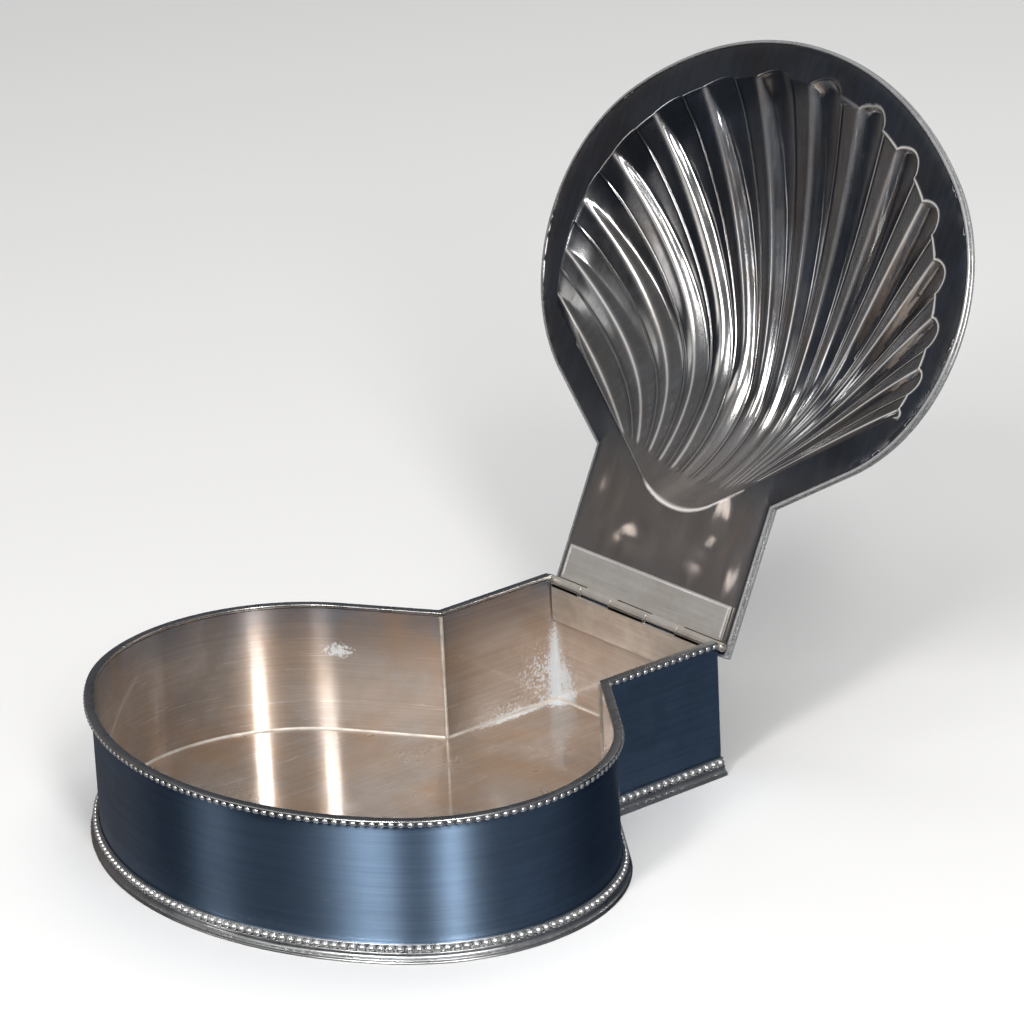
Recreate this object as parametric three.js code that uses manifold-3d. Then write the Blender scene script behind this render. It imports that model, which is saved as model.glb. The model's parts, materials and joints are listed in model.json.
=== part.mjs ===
// A silver-plated shell box: a keyhole-plan sheet box on a beaded foot, with a hinged lid raised as a scallop
// shell. Millimetres, +Z up, +Y towards the hinge. The plan is drawn from the point on the centre line where
// the bowl is widest. The lid is built closed about its hinge axis and then swung back to its stop. The whole
// is then moved, so that the origin is on the table, under the middle of the open box.
import * as THREE from 'three';
import { mergeGeometries, mergeVertices } from 'three/addons/utils/BufferGeometryUtils.js';
import { ParametricGeometry } from 'three/addons/geometries/ParametricGeometry.js';
import Module from 'manifold-3d';

const wasm = await Module();
wasm.setup();

// ---- Driving sizes ----

const OPEN_BOX_MIDDLE = 65.04; // from where the bowl is widest to the middle of the open box's length
const GAP = 0.3; // joint left between two touching pieces
const SHEET = 1.0; // thickness of the wall, floor and lid sheet

// Plan of the wall's outer face: a flat front arc, two tighter side arcs, straight flanks and the hinge block
const BOWL_HALF_WIDTH = 98;
const FRONT_RADIUS = 117.4;
const SIDE_RADIUS = 60.7;
const FLANK_ANGLE = THREE.MathUtils.degToRad(33.7);
const BLOCK_HALF_WIDTH = 41.8;
const BLOCK_BACK = 118.5;
const ARC_STEP = THREE.MathUtils.degToRad(6.6);

// Heights above the table
const RIM_TOP = 47.2;
const LEDGE_THICKNESS = 1.0;
const WALL_BOTTOM = 0.4;
const WALL_TOP = RIM_TOP - LEDGE_THICKNESS - GAP;
const BACK_WALL_TOP = 43;
const FLOOR_BOTTOM = 1.2;

// Hinge
const AXIS_Y = 118.8;
const AXIS_Z = 44.9;
const OPEN_ANGLE = THREE.MathUtils.degToRad(115.5);
const BARREL_RADIUS = 1.4;
const BORE_RADIUS = 1.0;
const PIN_RADIUS = 0.7;
const BARREL_HALF_LENGTH = 44.3;
const KNUCKLE_ENDS = [-BARREL_HALF_LENGTH, -26.3, -11, 7, 22.8, BARREL_HALF_LENGTH];
const BASE_KNUCKLES = [0, 2, 4];
const LID_KNUCKLES = [1, 3];
const LEAF_THICKNESS = 0.9;
const LEAF_HALF_WIDTH = 40.2;
const BASE_LEAF_DROP = 13.4; // from the axis down to the leaf's lower edge
const LID_LEAF_REACH = 13; // from the axis to the leaf's free edge
const BARREL_SIDES = 14;

// Lid, in its own frame: the hinge axis is the origin and v runs from it towards the front
const LID_UNDERSIDE = RIM_TOP + GAP - AXIS_Z;
const LID_SHEET_EDGE = 0.9; // how far the sheet stands out past the wall's outer face
const LID_EDGE_REACH = 2.2; // how far the lid's edge strip stands out past the wall's outer face
const LID_BACK = 3.5; // from the hinge axis back to the strip's outer face
const LID_BACK_SHIFT = AXIS_Y + LID_BACK - BLOCK_BACK - LID_EDGE_REACH;
const LID_EDGE_HEIGHT = 3.1;
const LID_BORDER = 3.6; // how far the border laps in over the sheet's outside

// Shell relief on the lid
const SHELL_CENTRE = 45; // v of the point the ribs fan out from
const SHELL_BOTTOM = 36.5; // v of the lowest point of the cup
const SHELL_HEIGHT = 28.5;
const CUP_RADIUS = 30;
const LOWER_EDGE_SLOPE = THREE.MathUtils.degToRad(35);
const WING_X = 84; // outer end of the straight lower edge
const LAST_RIB = 7.3; // ribs are numbered from the middle one, and the lower edges lie at +-LAST_RIB
const NARROW_RIB = 0.58; // place of the narrow rib between two broad ones
const RIB_TURN = 10.4; // degrees from one broad rib to the next
const RIB_TURN_EASING = 0.034; // how far the turn eases towards the sides
const RIB_SKEW = 1.5; // degrees by which the fan is turned in the middle
const RIB_START_SPACING = 4; // along x, where the ribs start at the lower edge
const BEND_X = 0.275; // how far sideways a rib has come at its bend, as a share
const BEND_X_EASING = 0.016; // how much less that is for each rib from the middle
const BEND_V = 0.56; // how far forward the bend is, as a share
const EDGE_REACH = 138.8; // from the fan's centre to the edge, straight ahead
const EDGE_DRAW_IN = 26.1;
const EDGE_CORNER_DRAW_IN = 17.9;
const WING_DIRECTION = THREE.MathUtils.degToRad(62.5);
const LOBE_REACH = 5.2;
const LOBE_LEAN = 1.3; // above 1, a lobe is fullest past its middle
const LOBE_FULLNESS = 0.6; // below 1, a lobe is squarer than a sine
const DOME_CREST = 0.3; // place along a rib where the dome starts to fall
const DOME_FALL = 1.6;
const DOME_RISE = 43; // distance from the lower edge over which the dome rises
const DOME_SIDE_DROP = 0.22;
const FLUTE_WIDTH_START = 4;
const FLUTE_WIDTH_END = 25;
const FLUTE_SIDE_EASING = 0.35;
const WIDE_FLUTE_DEPTH = 0.12; // as a share of its width
const NARROW_FLUTE_DEPTH = 0.075;
const CUP_END = 0.05; // the cup is smooth up to here along the ribs
const FLUTE_FULL = 0.11; // and the flutes are at their full depth from here
const COLUMNS_PER_RIB = [0, 0.2, 0.42, NARROW_RIB, 0.8];
const SHELL_ROWS = [0, 0.04, 0.09, 0.16, 0.25, 0.35, 0.46, 0.57, 0.68, 0.78, 0.87, 0.94, 0.985, 1];

const SILVER = { color: 0x8f8c8a, roughness: 0.25, metalness: 1.0 };
const SILVER_BRIGHT = { color: 0xb9b6b2, roughness: 0.2, metalness: 1.0 };
const SILVER_WARM = { color: 0x9c8573, roughness: 0.35, metalness: 1.0 };

// ---- Helpers ----

function toManifold(geometry) {
  const bare = geometry.index ? geometry.toNonIndexed() : geometry.clone();
  for (const name of Object.keys(bare.attributes)) if (name !== 'position') bare.deleteAttribute(name);
  const merged = mergeVertices(bare, 1e-4);
  return new wasm.Manifold(new wasm.Mesh({
    numProp: 3,
    vertProperties: new Float32Array(merged.attributes.position.array),
    triVerts: new Uint32Array(merged.index.array),
  }));
}

function toGeometry(solid) {
  const mesh = solid.getMesh();
  const geometry = new THREE.BufferGeometry();
  geometry.setAttribute('position', new THREE.BufferAttribute(new Float32Array(mesh.vertProperties), 3));
  geometry.setIndex(new THREE.BufferAttribute(new Uint32Array(mesh.triVerts), 1));
  geometry.computeVertexNormals();
  return geometry;
}

function box(x0, x1, y0, y1, z0, z1) {
  const geometry = new THREE.BoxGeometry(x1 - x0, y1 - y0, z1 - z0);
  geometry.translate((x0 + x1) / 2, (y0 + y1) / 2, (z0 + z1) / 2);
  return geometry;
}

function piece(name, geometry, finish) {
  const mesh = new THREE.Mesh(geometry, new THREE.MeshStandardMaterial(finish));
  mesh.name = name;
  return mesh;
}

// ---- Plan outline ----

// Right half of the plan, from the middle of the front round to the hinge block's back corner, moved outwards
// by `offset`. The back line is moved by `backOffset`.
function halfOutline(offset, backOffset = offset) {
  const sideX = BOWL_HALF_WIDTH - SIDE_RADIUS;
  const frontTurn = Math.asin(sideX / (FRONT_RADIUS - SIDE_RADIUS));
  const frontCentreY = (FRONT_RADIUS - SIDE_RADIUS) * Math.cos(frontTurn);
  const points = [];
  const arc = (cx, cy, radius, from, to) => {
    const steps = Math.ceil((to - from) / ARC_STEP);
    for (let i = 0; i <= steps; i++) {
      const turn = from + (to - from) * i / steps;
      const reach = radius + offset;
      points.push(new THREE.Vector2(cx + reach * Math.sin(turn), cy - reach * Math.cos(turn)));
    }
  };
  arc(0, frontCentreY, FRONT_RADIUS, 0, frontTurn);
  points.pop();
  arc(sideX, 0, SIDE_RADIUS, frontTurn, Math.PI - FLANK_ANGLE);
  const shoulder = points[points.length - 1];
  const neckX = BLOCK_HALF_WIDTH + offset;
  points.push(new THREE.Vector2(neckX, shoulder.y + (shoulder.x - neckX) * Math.tan(FLANK_ANGLE)));
  points.push(new THREE.Vector2(neckX, BLOCK_BACK + backOffset));
  return points;
}

// Whole plan, anticlockwise, starting at the middle of the front
function outline(offset, backOffset = offset) {
  const right = halfOutline(offset, backOffset);
  const left = right.slice(1).reverse().map((p) => new THREE.Vector2(-p.x, p.y));
  return [...right, ...left];
}

// A closed ring whose section is given as [offset from the wall's outer face, height] pairs, anticlockwise
// when seen with outwards to the right. Its back run is moved further back by `backShift`.
function ring(section, backShift = 0) {
  const loops = section.map(([offset, z]) => outline(offset, offset + backShift).map((p) => [p.x, p.y, z]));
  const count = loops[0].length;
  const positions = loops.flat(2);
  const index = [];
  for (let s = 0; s < section.length; s++) {
    const next = (s + 1) % section.length;
    for (let i = 0; i < count; i++) {
      const a = s * count + i;
      const b = s * count + (i + 1) % count;
      const c = next * count + (i + 1) % count;
      const d = next * count + i;
      index.push(a, b, c, a, c, d);
    }
  }
  const geometry = new THREE.BufferGeometry();
  geometry.setAttribute('position', new THREE.Float32BufferAttribute(positions, 3));
  geometry.setIndex(index);
  geometry.computeVertexNormals();
  return geometry;
}

function roundSection(centreOffset, centreZ, radius, from, to, steps) {
  return Array.from({ length: steps + 1 }, (_, i) => {
    const angle = THREE.MathUtils.degToRad(from + (to - from) * i / steps);
    return [centreOffset + radius * Math.cos(angle), centreZ + radius * Math.sin(angle)];
  });
}

// ---- Base ----

// Everything above the low back wall and behind this line is cut away, to leave room for the hinge
function hingeClearance() {
  const reach = BLOCK_HALF_WIDTH * 2;
  const front = AXIS_Y - BARREL_RADIUS - GAP;
  return toManifold(box(-reach, reach, front, BLOCK_BACK * 2, BACK_WALL_TOP, RIM_TOP * 2));
}

function baseWall() {
  const wall = ring([[-SHEET, WALL_BOTTOM], [0, WALL_BOTTOM], [0, WALL_TOP], [-SHEET, WALL_TOP]]);
  return toGeometry(toManifold(wall).subtract(hingeClearance()));
}

function floorPlate() {
  const shape = new THREE.Shape(outline(-SHEET - GAP));
  const plate = new THREE.ExtrudeGeometry(shape, { depth: SHEET, bevelEnabled: false });
  plate.translate(0, 0, FLOOR_BOTTOM);
  return plate;
}

// A plain ledge that caps the wall, with a roll under its outer edge that carries the row of beads
const RIM_ROLL = { offset: 1.3, z: RIM_TOP - 1.3, radius: 0.95 };
const LEDGE_EDGE = 1.7;

function rimMoulding() {
  const ledgeUnderside = RIM_TOP - LEDGE_THICKNESS;
  const section = [
    ...roundSection(RIM_ROLL.offset, RIM_ROLL.z, RIM_ROLL.radius, 180, 390, 5),
    [LEDGE_EDGE, RIM_TOP],
    [-SHEET, RIM_TOP],
    [-SHEET, ledgeUnderside],
    [RIM_ROLL.offset - RIM_ROLL.radius, ledgeUnderside],
  ];
  return toGeometry(toManifold(ring(section)).subtract(hingeClearance()));
}

// Foot: a square foot edge, a cove, the bead roll and a thin fillet against the wall. The strip ends flush
// with the plain back wall.
const FOOT_HEIGHT = 6;
const FOOT_EDGE = 3.2;
const FOOT_EDGE_HEIGHT = 1.5;
const FOOT_ROLL = { offset: 1.15, z: 4.3, radius: 1.0 };

function footMoulding() {
  const section = [
    [GAP, 0],
    [FOOT_EDGE - 0.4, 0],
    [FOOT_EDGE, 0.4],
    [FOOT_EDGE, FOOT_EDGE_HEIGHT - 0.3],
    [FOOT_EDGE - 0.5, FOOT_EDGE_HEIGHT],
    [FOOT_EDGE - 1.4, FOOT_EDGE_HEIGHT + 0.7],
    ...roundSection(FOOT_ROLL.offset, FOOT_ROLL.z, FOOT_ROLL.radius, -55, 60, 3),
    [GAP + 0.8, FOOT_HEIGHT - 0.6],
    [GAP + 0.8, FOOT_HEIGHT],
    [GAP, FOOT_HEIGHT],
  ];
  const behind = box(-BOWL_HALF_WIDTH, BOWL_HALF_WIDTH, BLOCK_BACK, BLOCK_BACK * 2, -1, FOOT_HEIGHT + 1);
  return toGeometry(toManifold(ring(section)).subtract(toManifold(behind)));
}

// ---- Hinge ----

function barrelSlice(x0, x1, radius) {
  const cylinder = new THREE.CylinderGeometry(radius, radius, x1 - x0, BARREL_SIDES);
  cylinder.rotateZ(Math.PI / 2);
  cylinder.translate((x0 + x1) / 2, 0, 0);
  return cylinder;
}

// Ends of a knuckle, each shortened a little where it meets the next one
function knuckleSpan(n) {
  const last = KNUCKLE_ENDS.length - 2;
  return {
    x0: KNUCKLE_ENDS[n] + (n === 0 ? 0 : GAP / 2),
    x1: KNUCKLE_ENDS[n + 1] - (n === last ? 0 : GAP / 2),
  };
}

// A leaf with its own knuckles joined on by webs, cut back where the other leaf's knuckles turn
function leaf(plate, ownKnuckles, otherKnuckles, web, notch) {
  let solid = toManifold(plate);
  for (const n of otherKnuckles) {
    solid = solid.subtract(toManifold(notch(KNUCKLE_ENDS[n] - GAP / 2, KNUCKLE_ENDS[n + 1] + GAP / 2)));
  }
  for (const n of ownKnuckles) {
    const { x0, x1 } = knuckleSpan(n);
    const webbed = web(Math.max(x0, -LEAF_HALF_WIDTH), Math.min(x1, LEAF_HALF_WIDTH));
    solid = solid.add(toManifold(barrelSlice(x0, x1, BARREL_RADIUS))).add(toManifold(webbed));
  }
  const bore = barrelSlice(-BARREL_HALF_LENGTH - 1, BARREL_HALF_LENGTH + 1, BORE_RADIUS);
  return toGeometry(solid.subtract(toManifold(bore)));
}

// The base leaf hangs inside the back wall, bends over its top and rolls into three knuckles
function baseLeaf() {
  const back = BLOCK_BACK - SHEET - GAP - AXIS_Y;
  const front = back - LEAF_THICKNESS;
  const top = -0.1;
  const overWall = BACK_WALL_TOP + GAP - AXIS_Z;
  const notchFloor = -BARREL_RADIUS - 1.8;
  return leaf(
    box(-LEAF_HALF_WIDTH, LEAF_HALF_WIDTH, front, back, -BASE_LEAF_DROP, top),
    BASE_KNUCKLES,
    LID_KNUCKLES,
    (x0, x1) => box(x0, x1, front, -BORE_RADIUS, overWall, top),
    (x0, x1) => box(x0, x1, front - 1, back + 1, notchFloor, top + 1),
  );
}

// The lid leaf lies under the lid sheet, with two knuckles below it
function lidLeaf() {
  const top = LID_UNDERSIDE - GAP;
  const bottom = top - LEAF_THICKNESS;
  return leaf(
    box(-LEAF_HALF_WIDTH, LEAF_HALF_WIDTH, -LID_LEAF_REACH, BORE_RADIUS, bottom, top),
    LID_KNUCKLES,
    BASE_KNUCKLES,
    (x0, x1) => box(x0, x1, -BARREL_RADIUS, BORE_RADIUS, BORE_RADIUS - 0.3, top),
    (x0, x1) => box(x0, x1, -BARREL_RADIUS - 0.5, BARREL_RADIUS * 2, bottom - 1, top + 1),
  );
}

// ---- Lid sheet with the shell ----

// Direction of a rib's outer end, in radians from straight ahead
function ribDirection(rib) {
  const skew = RIB_SKEW * (1 - Math.abs(rib - 0.5) / LAST_RIB);
  return THREE.MathUtils.degToRad(RIB_TURN * rib - RIB_TURN_EASING * rib ** 3 + skew);
}

// How far the scalloped edge runs out past the ribs' ends: one wide lobe, fullest just before the narrow rib
function lobe(rib) {
  const across = (rib - Math.floor(rib)) / NARROW_RIB;
  return across < 1 ? LOBE_REACH * Math.sin(Math.PI * across ** LOBE_LEAN) ** LOBE_FULLNESS : 0;
}

// Distance from the fan's centre to the smooth edge of the shell, which follows the lid's own outline
function edgeDistance(direction) {
  const side = Math.abs(direction) / WING_DIRECTION;
  return EDGE_REACH - EDGE_DRAW_IN * side ** 2 - EDGE_CORNER_DRAW_IN * side ** 4;
}

function shellEdge(rib) {
  const direction = ribDirection(rib);
  const reach = edgeDistance(direction) + lobe(rib) * (1 - 0.5 * (rib / LAST_RIB) ** 2);
  return { x: reach * Math.sin(direction), v: SHELL_CENTRE + reach * Math.cos(direction) };
}

// The shell's lower edge: the cup's arc in the middle and a straight edge on each side of it
function lowerEdge(x) {
  const slope = Math.min(LOWER_EDGE_SLOPE, Math.asin(Math.min(1, Math.abs(x) / CUP_RADIUS)));
  const onArc = SHELL_BOTTOM + CUP_RADIUS * (1 - Math.cos(slope));
  const beyond = Math.abs(x) - CUP_RADIUS * Math.sin(slope);
  return { v: onArc + beyond * Math.tan(slope), slope };
}

// Place on the lid of a point on a rib line: `along` is 0 at the lower edge and 1 at the scalloped edge. A rib
// leaves the cup almost straight ahead and then bends outwards; the last ones lie along the lower edge.
function shellPlan(rib, along) {
  const side = rib / LAST_RIB;
  const startX = RIB_START_SPACING * rib;
  const start = { x: startX, v: lowerEdge(startX).v };
  const end = Math.abs(side) === 1 ? { x: WING_X * side, v: lowerEdge(WING_X).v } : shellEdge(rib);
  const straight = side ** 6;
  const bendX = THREE.MathUtils.lerp(BEND_X - BEND_X_EASING * Math.abs(rib), 0.5, straight);
  const bendV = THREE.MathUtils.lerp(BEND_V, 0.5, straight);
  const bend = { x: start.x + bendX * (end.x - start.x), v: start.v + bendV * (end.v - start.v) };
  const rest = 1 - along;
  return {
    x: rest * rest * start.x + 2 * along * rest * bend.x + along * along * end.x,
    v: rest * rest * start.v + 2 * along * rest * bend.v + along * along * end.v,
  };
}

// Distance from the shell's lower edge
function lowerEdgeDistance(x, v) {
  const edge = lowerEdge(x);
  return Math.max(0, (v - edge.v) * Math.cos(edge.slope));
}

// Height of the smooth dome over a point
function domeHeight(rib, along, x, v) {
  const pastCrest = Math.max(0, (along - DOME_CREST) / (1 - DOME_CREST));
  const outward = 1 - pastCrest ** DOME_FALL;
  const inward = 1 - (1 - Math.min(1, lowerEdgeDistance(x, v) / DOME_RISE)) ** 2;
  return SHELL_HEIGHT * outward * inward * (1 - DOME_SIDE_DROP * (rib / LAST_RIB) ** 2);
}

// Depth of the flutes between the ribs: wide between a broad rib and the narrow one, shallower beyond it
function fluteDepth(rib, along) {
  const phase = rib - Math.floor(rib);
  const wide = phase < NARROW_RIB;
  const across = wide ? phase / NARROW_RIB : (1 - phase) / (1 - NARROW_RIB);
  const hollow = across < 0.5 ? (1 - Math.cos(2 * Math.PI * across)) / 2 : Math.cos(Math.PI * (across - 0.5));
  const widest = THREE.MathUtils.lerp(FLUTE_WIDTH_START, FLUTE_WIDTH_END, along);
  const width = widest * (1 - FLUTE_SIDE_EASING * (rib / LAST_RIB) ** 2);
  const started = THREE.MathUtils.smoothstep(along, CUP_END, FLUTE_FULL);
  const side = 1 - (rib / LAST_RIB) ** 8;
  return width * (wide ? WIDE_FLUTE_DEPTH : NARROW_FLUTE_DEPTH) * hollow * started * side;
}

function shellPoint(rib, along) {
  const { x, v } = shellPlan(rib, along);
  const edge = along === 1 || along === 0 || Math.abs(rib) === LAST_RIB;
  const height = edge ? 0 : domeHeight(rib, along, x, v) + fluteDepth(rib, along);
  return new THREE.Vector3(x, -v, LID_UNDERSIDE + height);
}

function ribColumns() {
  const columns = [];
  for (let rib = -Math.ceil(LAST_RIB); rib <= LAST_RIB; rib++) {
    for (const phase of COLUMNS_PER_RIB) {
      if (Math.abs(rib + phase) < LAST_RIB - 0.1) columns.push(rib + phase);
    }
  }
  return [-LAST_RIB, ...columns, LAST_RIB];
}

// The relief as a grid surface, raised by `lift`
function shellSurface(columns, rows, lift) {
  const target = (u, w, point) => {
    const rib = columns[Math.round(u * (columns.length - 1))];
    const along = rows[Math.round(w * (rows.length - 1))];
    point.copy(shellPoint(rib, along));
    point.z += lift;
  };
  return new ParametricGeometry(target, columns.length - 1, rows.length - 1);
}

function shellBoundary(columns, rows) {
  const at = (rib, along) => {
    const { x, v } = shellPlan(rib, along);
    return new THREE.Vector2(x, -v);
  };
  const last = columns.length - 1;
  return [
    ...columns.map((rib) => at(rib, 0)),
    ...rows.slice(1).map((along) => at(columns[last], along)),
    ...columns.slice(0, last).reverse().map((rib) => at(rib, 1)),
    ...rows.slice(1, -1).reverse().map((along) => at(columns[0], along)),
  ];
}

function flipped(geometry) {
  const order = geometry.index.array;
  for (let i = 0; i < order.length; i += 3) [order[i], order[i + 1]] = [order[i + 1], order[i]];
  return geometry;
}

function positionsOnly(geometry) {
  const bare = geometry.clone();
  for (const name of Object.keys(bare.attributes)) if (name !== 'position') bare.deleteAttribute(name);
  return bare;
}

// Outline in the lid's frame, `offset` outside the wall's outer face
function lidOutline(offset) {
  return outline(offset, offset + LID_BACK_SHIFT).map((p) => new THREE.Vector2(p.x, p.y - AXIS_Y));
}

function edgeWall(contour, z0, z1) {
  const positions = [];
  const index = [];
  contour.forEach((p, i) => {
    const next = (i + 1) % contour.length;
    positions.push(p.x, p.y, z0, p.x, p.y, z1);
    index.push(2 * i, 2 * next, 2 * next + 1, 2 * i, 2 * next + 1, 2 * i + 1);
  });
  const geometry = new THREE.BufferGeometry();
  geometry.setAttribute('position', new THREE.Float32BufferAttribute(positions, 3));
  geometry.setIndex(index);
  return geometry;
}

function lidShell() {
  const columns = ribColumns();
  const contour = lidOutline(LID_SHEET_EDGE);
  const shape = new THREE.Shape(contour);
  shape.holes.push(new THREE.Path(shellBoundary(columns, SHELL_ROWS)));
  const flat = (z) => new THREE.ShapeGeometry(shape).translate(0, 0, z);
  const surfaces = [
    flipped(flat(LID_UNDERSIDE)),
    flat(LID_UNDERSIDE + SHEET),
    shellSurface(columns, SHELL_ROWS, 0),
    flipped(shellSurface(columns, SHELL_ROWS, SHEET)),
    edgeWall(contour, LID_UNDERSIDE, LID_UNDERSIDE + SHEET),
  ];
  const merged = mergeVertices(mergeGeometries(surfaces.map(positionsOnly)), 1e-3);
  return toGeometry(toManifold(merged));
}

// A rolled strip round the lid's edge: a row of beads next to the rim, a plain band, then a border that laps
// over the sheet
function lidEdgeMoulding() {
  const inner = LID_SHEET_EDGE + GAP;
  const under = RIM_TOP + GAP;
  const overSheet = under + SHEET + GAP;
  const beads = { offset: inner + 0.15, z: under + 0.85, radius: 0.85 };
  const section = [
    [inner, under],
    ...roundSection(beads.offset, beads.z, beads.radius, -60, 60, 3),
    [inner + 0.9, under + 1.8],
    [inner + 0.9, under + 2.7],
    [inner + 0.3, under + LID_EDGE_HEIGHT],
    [inner - 0.8, under + LID_EDGE_HEIGHT],
    [inner - LID_BORDER + 0.6, overSheet + 0.7],
    [inner - LID_BORDER, overSheet],
    [inner, overSheet],
  ];
  const strip = ring(section, LID_BACK_SHIFT);
  strip.translate(0, -AXIS_Y, -AXIS_Z);
  return strip;
}

// ---- Assembly ----

const base = new THREE.Group();
base.add(piece('base_wall', baseWall(), SILVER));
base.add(piece('floor_plate', floorPlate(), SILVER_WARM));
base.add(piece('rim_moulding', rimMoulding(), SILVER_BRIGHT));
base.add(piece('foot_moulding', footMoulding(), SILVER_BRIGHT));

const axis = new THREE.Group();
axis.position.set(0, AXIS_Y, AXIS_Z);
axis.add(piece('base_hinge_leaf', baseLeaf(), SILVER));
axis.add(piece('hinge_pin', barrelSlice(-BARREL_HALF_LENGTH, BARREL_HALF_LENGTH, PIN_RADIUS), SILVER_BRIGHT));

const lid = new THREE.Group();
lid.rotation.x = -OPEN_ANGLE;
lid.add(piece('lid_shell', lidShell(), SILVER));
lid.add(piece('lid_edge_moulding', lidEdgeMoulding(), SILVER_BRIGHT));
lid.add(piece('lid_hinge_leaf', lidLeaf(), SILVER));
axis.add(lid);

const whole = new THREE.Group();
whole.position.y = -OPEN_BOX_MIDDLE;
whole.add(base, axis);

const group = new THREE.Group();
group.add(whole);

export default group;
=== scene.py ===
"""Looks of the silver-plated shell box: fine meshes and worn-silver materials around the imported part."""
import json
import logging
import math
from dataclasses import dataclass, field
from enum import Enum
from typing import Callable, Iterable, Sequence

import bmesh
import bpy
from mathutils import Matrix, Vector
from mathutils.geometry import delaunay_2d_cdt


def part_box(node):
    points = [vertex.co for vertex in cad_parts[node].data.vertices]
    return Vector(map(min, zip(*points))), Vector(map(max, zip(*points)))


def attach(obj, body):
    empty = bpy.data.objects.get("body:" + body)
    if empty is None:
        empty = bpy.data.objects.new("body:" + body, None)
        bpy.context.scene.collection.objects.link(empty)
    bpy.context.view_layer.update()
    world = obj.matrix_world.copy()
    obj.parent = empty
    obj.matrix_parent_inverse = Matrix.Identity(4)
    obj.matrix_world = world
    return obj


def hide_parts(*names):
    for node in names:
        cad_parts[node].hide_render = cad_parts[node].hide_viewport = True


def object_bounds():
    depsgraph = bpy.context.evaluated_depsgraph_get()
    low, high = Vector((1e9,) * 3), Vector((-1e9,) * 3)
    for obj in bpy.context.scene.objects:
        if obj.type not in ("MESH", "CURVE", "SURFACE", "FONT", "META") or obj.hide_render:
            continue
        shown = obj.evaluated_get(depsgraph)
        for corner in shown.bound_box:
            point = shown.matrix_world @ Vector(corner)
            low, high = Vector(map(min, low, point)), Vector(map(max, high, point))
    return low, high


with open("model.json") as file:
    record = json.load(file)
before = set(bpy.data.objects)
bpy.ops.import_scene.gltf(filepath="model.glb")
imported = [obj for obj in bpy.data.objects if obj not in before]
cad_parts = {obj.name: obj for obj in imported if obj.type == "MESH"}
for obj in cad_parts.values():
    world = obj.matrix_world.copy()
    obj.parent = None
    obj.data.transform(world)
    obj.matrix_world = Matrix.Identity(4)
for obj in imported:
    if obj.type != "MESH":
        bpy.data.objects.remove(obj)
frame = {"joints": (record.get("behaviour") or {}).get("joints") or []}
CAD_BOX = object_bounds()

MM = 0.001
MERGE = 1e-7
BEAD_SIDES, BEAD_RINGS = 9, 6
# Dark of the shell's rib feet (patina and painted shade) and of its left side (painted shade).
PATINA_AND_PAINTED_SHADE = (0.05, 0.05, 0.055)
# Light of the shell's rubbed edges and crests, partly wear and partly painted highlight.
RUBBED_EDGE_AND_PAINTED_HIGHLIGHT = (0.70, 0.67, 0.65)
BLOOM_WHITE = (0.56, 0.58, 0.60)
SCRATCHED = (0.85, 0.84, 0.82)
COAT_ROUGHNESS, COAT_IOR = 0.08, 2.1
RIPPLE_HEIGHT, LINE_HEIGHT = 0.001, 0.0001
SCRATCH_TURN = (0.2, 0.5, 0.3)
Point = tuple[float, float]
Colour = tuple[float, float, float]
Socket = bpy.types.NodeSocket
log = logging.getLogger("shell_box")


def lerp(a: float, b: float, t: float) -> float:
    """Value a fraction t of the way from a to b."""
    return a + (b - a) * t


def clamp(value: float, low: float = 0.0, high: float = 1.0) -> float:
    """Value kept between low and high."""
    return max(low, min(high, value))


def smoothstep(low: float, high: float, value: float) -> float:
    """Smooth rise from 0 at low to 1 at high."""
    t = clamp((value - low) / (high - low))
    return t * t * (3 - 2 * t)


class Body(Enum):
    """The two bodies of the box."""

    BASE = "base"
    LID = "lid"


# ---- Plan and sections ----


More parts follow.
